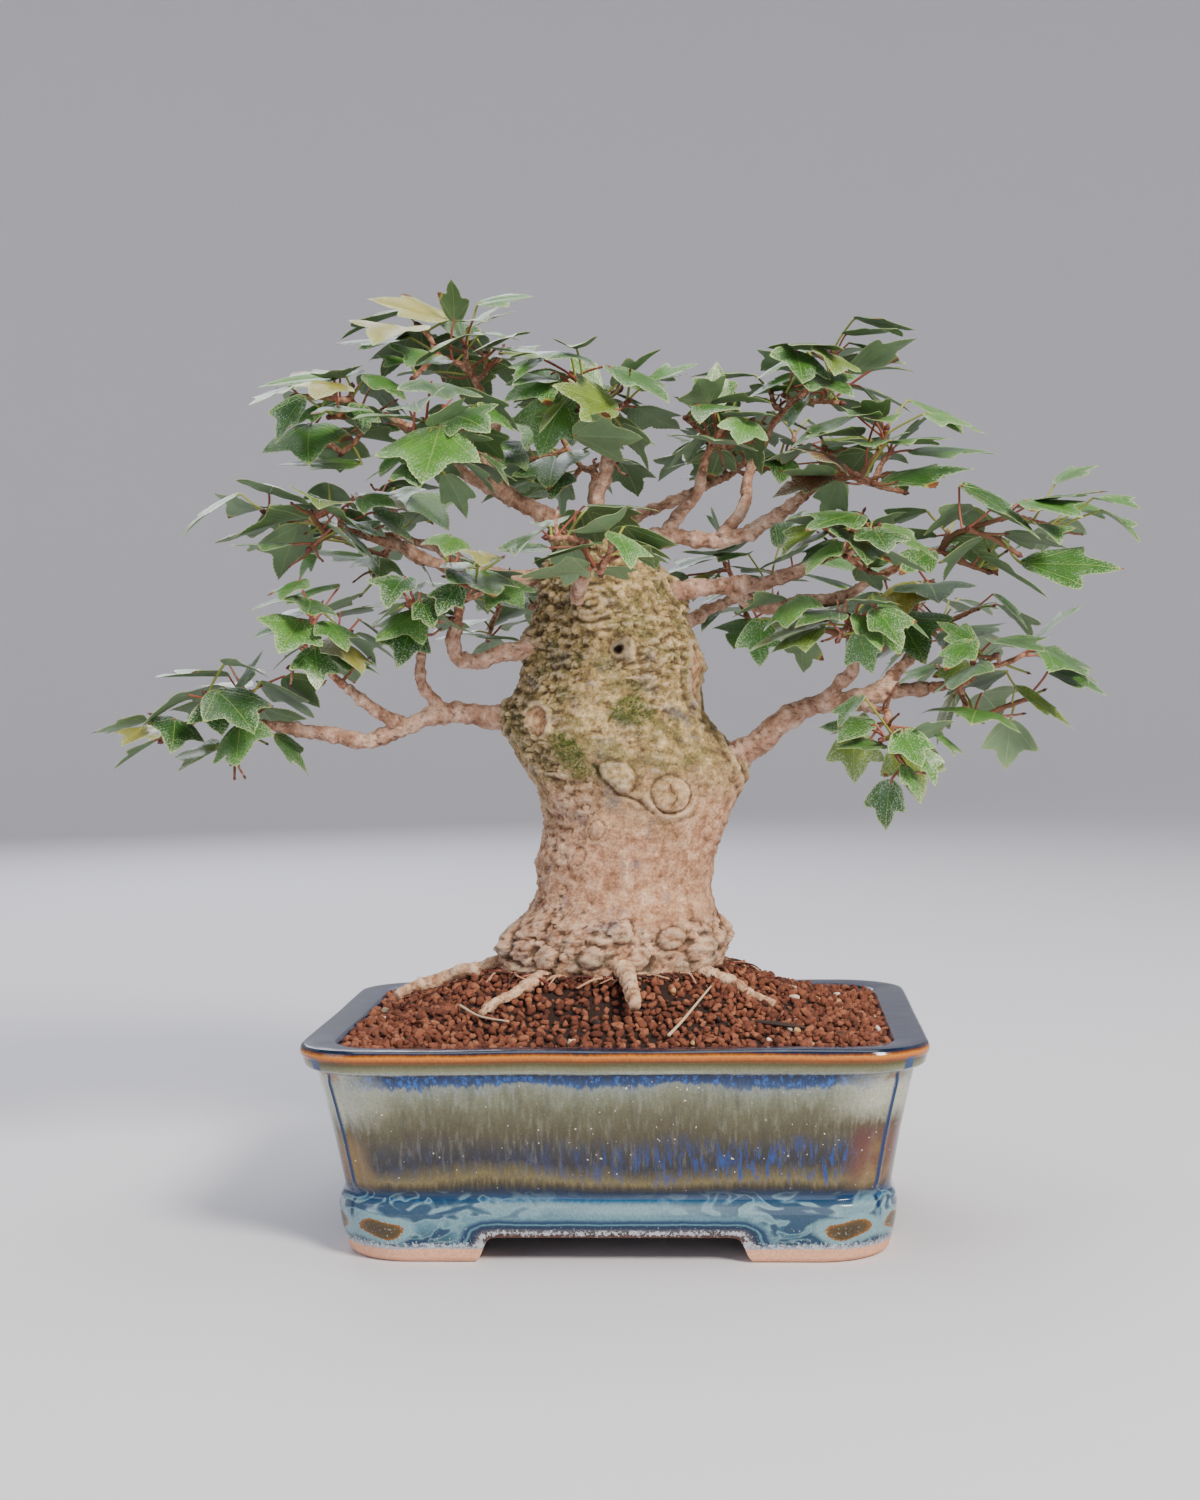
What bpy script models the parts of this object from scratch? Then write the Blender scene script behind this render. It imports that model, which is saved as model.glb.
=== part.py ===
"""Potted trident maple, grown as a small bonsai.

A thick scarred trunk stands on a mound of clay granules in a glazed rectangular pot. Crooked
boughs leave it on all sides, and each bough ends in a mass of three-lobed leaves. Every length
below is in millimetres, measured from the middle of the pot, with the ground at height 0,
+X to the right and +Y to the back. The last step moves the whole part so that the middle of
its box stands on the origin.
"""

import math
import random

import bmesh
import bpy
import numpy as np
from mathutils import Vector, noise

MM = 0.001
GAP = 0.3  # clear distance between touching pieces
UP = np.array([0.0, 0.0, 1.0])

# Pot: (height, width) of its outer rings from the feet to the rim
POT_OUTSIDE = (
    (0.0, 172.0), (1.6, 175.0), (8.5, 178.0), (14.0, 179.5), (18.5, 179.0), (21.0, 176.6),
    (30.0, 179.2), (40.0, 182.6), (50.0, 186.6), (61.6, 191.6), (62.6, 196.4), (65.0, 199.6),
    (67.6, 200.0), (69.4, 197.8),
)
POT_INSIDE = ((69.0, 180.0), (68.0, 176.0), (60.0, 174.0), (16.0, 160.0))
POT_WIDTH = 200.0
POT_DEPTH_LESS = 45.0  # every ring is this much shallower than it is wide
CORNER_RADIUS = 22.0
RIDGE_HEIGHT = 1.1  # raised seam down each corner
RIDGE_HEIGHTS = (21.0, 61.6)
RIDGE_SPREAD = 5.0  # degrees of the corner's arc on each side of the seam
FLOOR_HEIGHT = 16.0
FOOT_HEIGHT = 8.5
FOOT_GAP_FRONT = 82.0
FOOT_GAP_SIDE = 56.0
FOOT_WALL = 14.0
DRAIN_RADIUS = 7.0
DRAIN_SPACING = 74.0

# Soil: granules heaped against the trunk
SOIL_EDGE_HEIGHT = 68.4
TRUNK_CUT_HEIGHT = 84.0
SOIL_PLATEAU = (46.0, 35.0)
SOIL_SLOPE = 1.9  # how quickly the mound falls away
SOIL_SHARES = (1.0, 0.86, 0.72, 0.58, 0.44, 0.32, 0.2, 0.1, 0.0)  # rings from the rim inwards
SOIL_POINTS_ALONG = (5, 3)  # more points on each long and each short side
SOIL_LUMPS = 1.7  # unevenness of the granules
SOIL_LUMP_SIZE = 11.0

# Trunk: (height, left edge, right edge, half depth)
TRUNK_MIDDLE_DEPTH = 12.0
TRUNK_SECTIONS = (
    (84.0, -43.0, 34.0, 31.0), (91.0, -41.0, 34.5, 31.0), (98.0, -38.0, 33.0, 30.0),
    (105.0, -31.0, 31.5, 27.0), (113.0, -29.5, 31.0, 26.0), (122.0, -29.0, 33.5, 26.5),
    (130.0, -26.0, 36.0, 27.0), (138.0, -26.0, 38.0, 27.5), (146.0, -29.5, 41.0, 28.5),
    (152.0, -33.0, 42.0, 29.0), (158.0, -36.0, 37.5, 28.5), (166.0, -38.5, 32.5, 27.5),
    (174.0, -38.0, 28.5, 26.0), (182.0, -34.5, 28.0, 25.0), (190.0, -33.0, 29.0, 24.0),
    (198.0, -32.0, 25.5, 22.5), (206.0, -29.5, 23.5, 20.5), (214.0, -25.5, 20.0, 18.0),
    (222.0, -23.5, 15.0, 15.0), (230.0, -22.0, 10.5, 12.0), (236.0, -20.0, 4.0, 9.0),
    (240.0, -18.0, -5.0, 5.5),
)
TRUNK_RINGS = 29
TRUNK_SIDES = 28
# Scars, knots and burrs: (angle from +X, height, spread, bulge)
TRUNK_SCARS = (
    (291.0, 145.0, 7.0, 2.6), (262.0, 150.0, 5.5, 2.8), (282.0, 193.0, 5.0, -2.2),
    (228.0, 170.0, 6.5, 2.2), (248.0, 133.0, 5.0, 1.6), (240.0, 124.0, 4.5, 1.4),
    (338.0, 185.0, 7.0, 1.8), (318.0, 90.0, 7.5, 4.0), (214.0, 94.0, 8.0, 4.0),
    (255.0, 205.0, 7.0, 2.4), (60.0, 140.0, 9.0, 3.0), (110.0, 172.0, 8.0, 2.6),
    (95.0, 120.0, 6.0, 2.0), (30.0, 200.0, 6.0, 1.8),
)
# Folds that stand out: (angle, height) at each end, spread, bulge
TRUNK_FOLDS = (
    ((268.0, 146.0), (300.0, 137.0), 5.0, 1.0), ((200.0, 101.0), (340.0, 100.0), 5.5, 0.9),
    ((214.0, 186.0), (196.0, 166.0), 5.0, 0.9), ((330.0, 172.0), (342.0, 146.0), 6.0, 0.9),
    ((225.0, 213.0), (300.0, 210.0), 5.0, 0.9), ((206.0, 156.0), (222.0, 142.0), 4.5, 0.9),
    ((300.0, 173.0), (318.0, 163.0), 5.0, 0.8), ((60.0, 184.0), (105.0, 190.0), 5.5, 1.0),
    ((128.0, 128.0), (150.0, 150.0), 5.5, 1.0), ((65.0, 106.0), (112.0, 108.0), 5.5, 0.9),
    ((20.0, 176.0), (45.0, 160.0), 5.5, 0.9), ((170.0, 120.0), (186.0, 140.0), 5.0, 0.8),
)
BURRS_ROUND_FOOT = 9

# Surface roots: (name, thickness at the trunk, thickness at the tip, points across the soil)
ROOTS = (
    ("root_front", 6.2, 3.4, ((1, -16), (4, -30), (6, -40), (7, -48))),
    ("root_front_left", 4.0, 2.4, ((-20, -10), (-30, -24), (-38, -30), (-44, -38))),
    ("root_left", 5.0, 3.0, ((-36, 8), (-50, 2), (-64, 4), (-77, -4))),
    ("root_right", 4.2, 2.4, ((24, -8), (38, -14), (46, -22), (52, -24))),
    ("root_back", 5.6, 3.0, ((8, 34), (14, 48), (22, 58), (26, 64))),
)
ROOT_SUNK = 0.35  # share of its thickness that a root lies in the soil
ROOT_RISE_AT_TRUNK = 3.0

# Boughs: name, the limb it leaves, thickness there and at its tip, then its route
BOUGHS = (
    ("bough_left_low", "trunk", 8.6, 4.2,
     ((-26, 10, 173), (-46, 8, 171), (-60, 4, 173), (-70, 0, 169), (-83, -4, 164), (-95, -6, 165),
      (-108, -8, 168), (-116, -8, 169))),
    ("bough_left_low_fork", "bough_left_low", 5.0, 3.4,
     ((-73, -1, 168), (-80, -7, 172), (-86, -11, 178), (-91, -12, 182))),
    ("bough_left_low_spur", "bough_left_low", 4.6, 3.2,
     ((-60, 4, 173), (-64, 0, 179), (-67, -4, 183), (-66, -6, 193))),
    ("bough_left_mid", "trunk", 6.6, 4.6,
     ((-22, 4, 197), (-38, -2, 193), (-50, -7, 190), (-54, -9, 194), (-53, -12, 203))),
    ("bough_left_upper", "trunk", 6.6, 3.6,
     ((-12, 14, 220), (-30, 13, 219), (-44, 10, 219), (-56, 4, 222), (-68, -2, 227),
      (-78, -6, 231))),
    ("bough_left_back", "bough_left_upper", 4.6, 3.4,
     ((-40, 11, 219), (-50, 24, 222), (-62, 36, 229), (-72, 44, 233))),
    ("bough_top_left", "trunk", 7.0, 3.4,
     ((-12, 12, 230), (-24, 10, 240), (-36, 8, 246), (-50, 5, 254), (-61, 2, 264), (-72, 0, 271))),
    ("bough_top_left_spur", "bough_top_left", 4.4, 3.2,
     ((-36, 8, 246), (-41, 0, 251), (-44, -6, 258), (-46, -9, 264))),
    ("bough_top", "bough_top_left", 5.0, 3.2,
     ((-36, 8, 246), (-42, 12, 258), (-42, 12, 270), (-46, 11, 282))),
    ("bough_centre", "trunk", 5.6, 3.6,
     ((-8, 14, 232), (-6, 13, 246), (-3, 12, 256), (-4, 9, 266))),
    ("bough_right_upper", "trunk", 6.6, 4.0,
     ((4, 10, 228), (18, 6, 232), (30, 3, 230), (42, 1, 231), (54, -2, 237), (64, -5, 244))),
    ("bough_right_upper_spur", "bough_right_upper", 4.8, 3.4,
     ((17, 6, 232), (22, 9, 240), (28, 8, 246), (30, 7, 254))),
    ("bough_right_top", "bough_right_upper", 4.4, 3.2,
     ((36, 2, 230), (44, 8, 242), (46, 13, 254), (52, 16, 266))),
    ("bough_right_mid", "trunk", 7.4, 4.2,
     ((8, 8, 212), (26, 6, 214), (40, 3, 215), (54, -2, 216), (66, -6, 221))),
    ("bough_right_mid_low", "bough_right_mid", 5.0, 3.4,
     ((38, 3, 215), (48, 6, 208), (62, 6, 208), (78, 5, 211), (90, 3, 217))),
    ("bough_right_low", "trunk", 10.4, 4.4,
     ((28, 8, 152), (42, 7, 157), (55, 4, 167), (66, 2, 173), (80, 0, 175), (94, -2, 178),
      (105, -4, 179))),
    ("bough_right_low_rise", "bough_right_low", 4.8, 3.4,
     ((69, 2, 174), (75, -4, 180), (80, -8, 186), (80, -10, 190))),
    ("bough_right_low_back", "bough_right_low", 5.0, 3.4,
     ((84, 0, 176), (92, 12, 181), (98, 24, 186), (104, 32, 192))),
    ("bough_right_low_front", "bough_right_low", 4.2, 3.0,
     ((76, 1, 174.5), (80, -8, 174), (84, -14, 173), (87, -18, 172))),
    ("bough_front", "trunk", 6.0, 4.0,
     ((-10, 0, 207), (-12, -12, 211), (-9, -22, 219), (-9, -28, 224))),
    ("bough_back_left", "trunk", 6.6, 3.8,
     ((-12, 26, 190), (-20, 44, 194), (-26, 56, 200), (-30, 66, 206))),
    ("bough_back_right", "trunk", 6.6, 3.8,
     ((10, 24, 196), (20, 42, 201), (30, 54, 207), (40, 62, 212))),
    ("bough_back_top", "trunk", 6.0, 3.6,
     ((-6, 16, 224), (-6, 30, 233), (-10, 42, 244), (-10, 50, 254))),
    ("bough_back_right_top", "bough_back_top", 4.4, 3.2,
     ((-6, 31, 234), (8, 40, 242), (22, 46, 248), (34, 50, 254))),
)
LIMB_STEP = 6.5  # distance between the bends that a limb is made of
LIMB_WANDER = 0.5
LIMB_ROUNDNESS = 1  # six sides
BARK_SWELL = 0.12  # how much a limb's thickness varies

# Masses: name, the bough that carries it, middle, reach each way, shoots, leaves, seed
MASSES = (
    ("leaves_left_low", "bough_left_low", (-137, -8, 176), (34, 30, 28), 5, 12, 11),
    ("leaves_left_low_mid", "bough_left_low_fork", (-99, -14, 198), (25, 30, 20), 4, 10, 12),
    ("leaves_left_low_inner", "bough_left_low_spur", (-66, -24, 207), (20, 26, 16), 3, 7, 13),
    ("leaves_left_mid", "bough_left_mid", (-46, -30, 216), (19, 26, 16), 3, 7, 14),
    ("leaves_left_upper", "bough_left_upper", (-104, -10, 238), (34, 30, 18), 5, 12, 15),
    ("leaves_left_back", "bough_left_back", (-92, 56, 240), (34, 32, 26), 5, 12, 16),
    ("leaves_top_left_outer", "bough_top_left", (-94, -6, 275), (27, 32, 24), 5, 12, 17),
    ("leaves_top_left_inner", "bough_top_left_spur", (-56, -30, 263), (22, 30, 22), 4, 10, 18),
    ("leaves_top_left", "bough_top", (-58, 8, 299), (32, 32, 19), 5, 12, 19),
    ("leaves_centre", "bough_centre", (-3, -4, 279), (28, 34, 22), 5, 13, 20),
    ("leaves_right_upper", "bough_right_upper", (88, -12, 256), (32, 30, 20), 5, 12, 21),
    ("leaves_right_upper_inner", "bough_right_upper_spur", (36, -8, 268), (21, 32, 19), 4, 10, 22),
    ("leaves_right_top", "bough_right_top", (70, 14, 286), (36, 32, 19), 5, 13, 23),
    ("leaves_right_mid", "bough_right_mid", (82, -26, 226), (23, 27, 18), 4, 9, 24),
    ("leaves_right_mid_outer", "bough_right_mid_low", (128, -2, 232), (42, 32, 24), 6, 14, 25),
    ("leaves_right_low", "bough_right_low", (128, -6, 183), (30, 30, 26), 5, 11, 26),
    ("leaves_right_low_inner", "bough_right_low_rise", (74, -14, 199), (28, 26, 15), 4, 8, 27),
    ("leaves_right_low_back", "bough_right_low_back", (114, 54, 204), (34, 32, 26), 5, 12, 28),
    ("leaves_right_low_front", "bough_right_low_front", (92, -26, 160), (20, 18, 22), 2, 5, 29),
    ("leaves_front", "bough_front", (-6, -50, 228), (23, 28, 17), 3, 7, 30),
    ("leaves_back_left", "bough_back_left", (-42, 90, 212), (38, 32, 24), 5, 13, 41),
    ("leaves_back_right", "bough_back_right", (52, 86, 218), (38, 34, 26), 5, 13, 32),
    ("leaves_back_top", "bough_back_top", (-22, 70, 264), (38, 32, 24), 5, 13, 33),
    ("leaves_back_right_top", "bough_back_right_top", (50, 62, 266), (38, 32, 22), 5, 13, 34),
)

# Leaves that stand out of the crown: mass, foot of the blade, its tip, width for its length,
# and the way its upper side faces
OUTER_LEAVES = (
    ("leaves_left_low", (-130, -12, 165), (-166, -20, 141), 0.42, (0.2, -0.7, 0.6)),
    ("leaves_top_left", (-57, 10, 308), (-84, 4, 316), 0.75, (0.1, -0.5, 0.9)),
    ("leaves_top_left", (-50, 4, 304), (-33, -4, 309), 0.45, (0.1, -0.4, 0.9)),
    ("leaves_top_left", (-75, -4, 289), (-79, -28, 293), 1.2, (0.0, 0.3, 1.0)),
    ("leaves_top_left_outer", (-90, -8, 287), (-119, -14, 285), 0.7, (0.0, -0.3, 1.0)),
    ("leaves_top_left_outer", (-94, 0, 280), (-112, -6, 271), 0.6, (-0.3, -0.6, 0.7)),
    ("leaves_top_left_outer", (-86, -2, 258), (-114, -8, 259), 0.6, (0.0, -0.4, 0.9)),
    ("leaves_left_upper", (-96, -10, 243), (-134, -16, 234), 0.5, (0.0, -0.5, 0.9)),
    ("leaves_top_left_inner", (-54, -40, 266), (-56, -60, 247), 1.1, (0.0, -0.7, 0.7)),
    ("leaves_left_low_mid", (-92, -15, 216), (-122, -20, 210), 0.6, (0.0, -0.3, 1.0)),
    ("leaves_front", (-3, -50, 231), (-6, -72, 216), 1.15, (0.0, -0.6, 0.8)),
    ("leaves_left_mid", (-46, -30, 208), (-66, -48, 199), 1.0, (0.0, -0.6, 0.8)),
    ("leaves_right_top", (80, 5, 286), (102, -2, 298), 0.7, (-0.4, 0.5, 0.8)),
    ("leaves_right_top", (62, -2, 293), (64, -20, 281), 1.1, (0.0, 0.7, 0.7)),
    ("leaves_right_mid_outer", (136, -6, 220), (169, -12, 219), 0.6, (0.0, -0.6, 0.8)),
    ("leaves_right_mid_outer", (115, -14, 246), (140, -20, 231), 0.65, (0.4, -0.5, 0.8)),
    ("leaves_right_upper", (88, -26, 246), (118, -32, 252), 0.6, (0.0, -0.4, 0.9)),
    ("leaves_right_low", (134, -4, 179), (153, -10, 165), 0.5, (0.4, -0.5, 0.8)),
    ("leaves_right_low_front", (79, -18, 166), (79, -21, 148), 1.0, (0.0, -1.0, 0.0)),
    ("leaves_right_low_front", (97, -22, 166), (99, -25, 141), 0.75, (0.0, -1.0, 0.1)),
    ("leaves_right_low_inner", (49, -8, 203), (49, -12, 187), 1.0, (0.0, -1.0, 0.1)),
    ("leaves_centre", (-12, -24, 264), (12, -30, 262), 0.9, (0.0, 0.6, 0.8)),
    ("leaves_centre", (3, -22, 272), (-17, -34, 281), 0.9, (0.0, -0.7, 0.7)),
)

# One leaf, for a blade of length 1: tips of the side lobes and the notches beside the middle lobe
LOBE_ALONG = 0.53
NOTCH_ALONG = 0.61
NOTCH_ACROSS = 0.23
BASE_ACROSS = 0.03
LEAF_LENGTHS = (17.0, 32.0, 26.0)  # least, most, usual
LEAF_WIDTHS = (0.85, 1.1)
STALK_LENGTHS = (4.0, 15.0)
STALK_RADIUS = 0.32
FOOT_DEPTH = 0.9  # depth of a blade where its stalk meets it
TWIG_RADIUS = 0.9
TWIG_MARGIN = 1.08  # how much nearer a twig lies to its own mass than to any other
BLADE_REACH = 1.3  # how far out a blade's edge may lie in its mass's reach
BLADE_OVERLAP = 1.25
LIMB_CLEARANCE = 0.7
LEAF_CLEARANCE = 1.1
TRIES = 45  # tries for each leaf that a mass wants
LEAF_JOINT_FIRST = 0.9  # from a shoot's end to its last pair of leaves
LEAF_JOINT_STEP = 2.1
LEAF_JOINTS = 4
SAMPLES = 5  # points along each edge where a leaf is tested

BARK = (0.47, 0.36, 0.26)
YOUNG_BARK = (0.40, 0.29, 0.22)
ROOT_BARK = (0.52, 0.39, 0.29)
GRANULES = (0.26, 0.11, 0.06)
GLAZE = (0.16, 0.19, 0.20)
LEAF_GREEN = (0.10, 0.24, 0.07)


def clear_scene():
    """Remove whatever the file held."""
    for thing in list(bpy.data.objects):
        bpy.data.objects.remove(thing, do_unlink=True)


def new_collection(name):
    """A collection in the scene."""
    made = bpy.data.collections.new(name)
    bpy.context.scene.collection.children.link(made)
    return made


def finish(name, colour, roughness, coat=0.0):
    """A plain material with the colour of the real surface."""
    made = bpy.data.materials.new(name)
    made.use_nodes = True
    shader = made.node_tree.nodes["Principled BSDF"]
    shader.inputs["Base Color"].default_value = (*colour, 1.0)
    shader.inputs["Roughness"].default_value = roughness
    shader.inputs["Metallic"].default_value = 0.0
    shader.inputs["Coat Weight"].default_value = coat
    made.diffuse_color = (*colour, 1.0)
    return made


def add_object(name, bm, collection, surface=None, smooth_angle=40.0):
    """Turn a bmesh in millimetres into an object in metres."""
    bmesh.ops.scale(bm, vec=(MM, MM, MM), verts=bm.verts)
    bmesh.ops.recalc_face_normals(bm, faces=bm.faces)
    mesh = bpy.data.meshes.new(name)
    bm.to_mesh(mesh)
    bm.free()
    mesh.shade_smooth()
    mesh.set_sharp_from_angle(angle=math.radians(smooth_angle))
    if surface is not None:
        mesh.materials.append(surface)
    made = bpy.data.objects.new(name, mesh)
    collection.objects.link(made)
    return made


def hide_cutter(cutter):
    """Show a cutting body as wire only."""
    cutter.hide_render = True
    cutter.display_type = "WIRE"


def cut(piece, cutter):
    """Take the cutter's shape out of the piece."""
    step = piece.modifiers.new("cut_by_" + cutter.name, "BOOLEAN")
    step.operation = "DIFFERENCE"
    step.object = cutter
    step.solver = "EXACT"


def loft(bm, rings):
    """Join closed rings of equal count by a skin, and close both ends."""
    rows = [[bm.verts.new(tuple(point)) for point in ring] for ring in rings]
    count = len(rows[0])
    for low, high in zip(rows, rows[1:]):
        for i in range(count):
            j = (i + 1) % count
            bm.faces.new((low[i], low[j], high[j], high[i]))
    bm.faces.new(rows[0][::-1])
    bm.faces.new(rows[-1])


def rounded_outline(width, depth, radius, ridge=0.0):
    """Points round a rectangle with round corners. The ridge stands out at mid corner."""
    angles = (0.0, 20.0, 40.0, 45.0, 50.0, 70.0, 90.0)
    outline = []
    for turn, side_x, side_y in ((0, 1, 1), (90, -1, 1), (180, -1, -1), (270, 1, -1)):
        middle_x = side_x * (width / 2 - radius)
        middle_y = side_y * (depth / 2 - radius)
        for angle in angles:
            reach = radius + ridge * max(0.0, 1.0 - abs(angle - 45.0) / RIDGE_SPREAD)
            way = math.radians(turn + angle)
            outline.append((middle_x + reach * math.cos(way), middle_y + reach * math.sin(way)))
    return outline


def box_cutter(name, size, place, collection):
    """A box that cuts a gap."""
    bm = bmesh.new()
    bmesh.ops.create_cube(bm, size=1.0)
    bmesh.ops.scale(bm, vec=size, verts=bm.verts)
    bmesh.ops.translate(bm, vec=place, verts=bm.verts)
    made = add_object(name, bm, collection)
    hide_cutter(made)
    return made


def build_pot(parts, cutters):
    """Glazed pot with a lip, ridged corners, four feet and two drain holes."""
    rings = []
    for height, width in POT_OUTSIDE:
        ridge = RIDGE_HEIGHT if RIDGE_HEIGHTS[0] < height < RIDGE_HEIGHTS[1] else 0.0
        outline = rounded_outline(width, width - POT_DEPTH_LESS, CORNER_RADIUS, ridge)
        rings.append([(x, y, height) for x, y in outline])
    for height, width in POT_INSIDE:
        radius = CORNER_RADIUS - (POT_WIDTH - width) * 0.35
        outline = rounded_outline(width, width - POT_DEPTH_LESS, radius)
        rings.append([(x, y, height) for x, y in outline])
    bm = bmesh.new()
    loft(bm, rings)
    pot = add_object("pot", bm, parts, finish("glazed_stoneware", GLAZE, 0.15, 0.8))
    foot_width = POT_OUTSIDE[0][1]
    foot_depth = foot_width - POT_DEPTH_LESS
    cutter_height = FOOT_HEIGHT + 4.0
    middle = FOOT_HEIGHT - cutter_height / 2
    cut(pot, box_cutter("gap_front", (FOOT_GAP_FRONT, 2 * foot_depth, cutter_height),
                        (0, 0, middle), cutters))
    cut(pot, box_cutter("gap_side", (2 * foot_width, FOOT_GAP_SIDE, cutter_height),
                        (0, 0, middle), cutters))
    bm = bmesh.new()
    hollow = rounded_outline(foot_width - 2 * FOOT_WALL, foot_depth - 2 * FOOT_WALL, 10.0)
    loft(bm, [[(x, y, height) for x, y in hollow] for height in (-4.0, FOOT_HEIGHT - 0.5)])
    under = add_object("hollow_under", bm, cutters)
    hide_cutter(under)
    cut(pot, under)
    for side in (-1, 1):
        bm = bmesh.new()
        bmesh.ops.create_cone(bm, cap_ends=True, segments=16, radius1=DRAIN_RADIUS,
                              radius2=DRAIN_RADIUS, depth=3 * FLOOR_HEIGHT)
        bmesh.ops.translate(bm, vec=(side * DRAIN_SPACING / 2, 0, FLOOR_HEIGHT / 2), verts=bm.verts)
        drain = add_object(f"drain_{side}", bm, cutters)
        hide_cutter(drain)
        cut(pot, drain)


def with_points_along(outline):
    """The same outline with more points on its straight sides."""
    corner = len(outline) // 4
    fuller = []
    for i in range(4):
        fuller += outline[i * corner:(i + 1) * corner]
        start, end = Vector(fuller[-1]), Vector(outline[(i + 1) * corner % len(outline)])
        count = SOIL_POINTS_ALONG[i % 2]
        fuller += [tuple(start.lerp(end, (j + 1) / (count + 1))) for j in range(count)]
    return fuller


def mound_height(share):
    """Height of the soil, from share 0 at the trunk to 1 at the rim."""
    rise = TRUNK_CUT_HEIGHT - GAP - SOIL_EDGE_HEIGHT
    return SOIL_EDGE_HEIGHT + rise * (1.0 - share) ** SOIL_SLOPE


def soil_outlines(fuller=False):
    """The soil's edge against the pot, and the plateau under the trunk, point for point."""
    width = POT_INSIDE[1][1] - 2 * GAP
    edge = rounded_outline(width, width - POT_DEPTH_LESS, CORNER_RADIUS - 8.4 - GAP)
    if fuller:
        edge = with_points_along(edge)
    plateau = []
    for x, y in edge:
        way = math.atan2(y, x)
        plateau.append((trunk_middle(TRUNK_CUT_HEIGHT) + SOIL_PLATEAU[0] * math.cos(way),
                        TRUNK_MIDDLE_DEPTH + SOIL_PLATEAU[1] * math.sin(way)))
    return edge, plateau


def soil_lump(x, y, share):
    """How far the granules stand above or below the even mound, which they meet at its edges."""
    fade = min(1.0, 7.0 * share, 7.0 * (1.0 - share))
    return SOIL_LUMPS * fade * noise.noise(Vector((x, y, 0)) / SOIL_LUMP_SIZE)


def soil_height(x, y):
    """Height of the soil at one place."""
    edge, plateau = soil_outlines()
    way = math.atan2(y, x)
    nearest = min(range(len(edge)), key=lambda i: abs(math.remainder(
        math.atan2(edge[i][1], edge[i][0]) - way, math.tau)))
    out, inner = Vector(edge[nearest]), Vector(plateau[nearest])
    line = out - inner
    share = (Vector((x, y)) - inner).dot(line) / line.length_squared
    return mound_height(min(1.0, max(0.0, share)))


def build_soil(parts, root_cutters):
    """Clay granules that fill the pot, heaped against the trunk and cut for the roots."""
    rings = []
    for height, width in reversed(POT_INSIDE[1:]):
        inner = width - 2 * GAP
        radius = CORNER_RADIUS - (POT_WIDTH - width) * 0.35 - GAP
        outline = with_points_along(rounded_outline(inner, inner - POT_DEPTH_LESS, radius))
        rings.append([(x, y, height + (GAP if height == FLOOR_HEIGHT else 0)) for x, y in outline])
    edge, plateau = soil_outlines(fuller=True)
    for share in SOIL_SHARES:
        ring = []
        for (x0, y0), (x1, y1) in zip(edge, plateau):
            x = x1 + (x0 - x1) * share
            y = y1 + (y0 - y1) * share
            ring.append((x, y, mound_height(share) + soil_lump(x, y, share)))
        rings.append(ring)
    bm = bmesh.new()
    loft(bm, rings)
    soil = add_object("soil", bm, parts, finish("clay_granules", GRANULES, 0.95), 60.0)
    for cutter in root_cutters:
        cut(soil, cutter)


def trunk_row(height):
    """Left edge, right edge and half depth of the trunk at a height."""
    heights = [row[0] for row in TRUNK_SECTIONS]
    return [float(np.interp(height, heights, [row[i] for row in TRUNK_SECTIONS]))
            for i in (1, 2, 3)]


def trunk_middle(height):
    """The trunk's middle across, which leans and shifts with height."""
    left, right, _ = trunk_row(height)
    return (left + right) / 2


def trunk_bumps():
    """Scars and folds, with the burrs round the foot and a collar under each bough."""
    bumps = list(TRUNK_SCARS)
    for start, end, spread, bulge in TRUNK_FOLDS:
        run = Vector(end) - Vector(start)
        steps = max(2, round(math.hypot(math.radians(run.x) * 30.0, run.y) / spread))
        for i in range(steps + 1):
            angle, level = Vector(start) + run * (i / steps)
            bumps.append((angle, level, spread, bulge))
    rng = random.Random(5)
    for i in range(BURRS_ROUND_FOOT):
        bumps.append((360.0 * i / BURRS_ROUND_FOOT + rng.uniform(-12, 12), rng.uniform(87, 97),
                      rng.uniform(5, 8), rng.uniform(1.5, 3.2)))
    for _, parent, thickness, _, route in BOUGHS:
        if parent == "trunk":
            start, second = np.array(route[0], float), np.array(route[1], float)
            out = second - start
            angle = math.degrees(math.atan2(out[1], out[0]))
            bumps.append((angle, route[0][2] + out[2] * 0.5, thickness * 0.9, thickness * 0.3))
    return bumps


def trunk_ring(height, bumps, grow=0.0, sides=TRUNK_SIDES):
    """One level section through the trunk."""
    left, right, half_depth = trunk_row(height)
    middle, half_width = (left + right) / 2, (right - left) / 2
    ring = []
    for i in range(sides):
        way = math.tau * i / sides
        out = Vector((math.cos(way), math.sin(way), 0))
        x, y = half_width * out.x, half_depth * out.y
        lump = 1.6 * noise.noise(Vector((x, y, height)) * 0.06) * min(1.0, half_width / 20)
        for angle, level, spread, bulge in bumps:
            turn = math.remainder(way - math.radians(angle), math.tau)
            along = turn * (half_width + half_depth) / 2
            away = (along ** 2 + (height - level) ** 2) / spread ** 2
            if away < 6.0:
                lump += bulge * math.exp(-away)
        ring.append((middle + x + out.x * (lump + grow),
                     TRUNK_MIDDLE_DEPTH + y + out.y * (lump + grow), height))
    return ring


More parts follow.
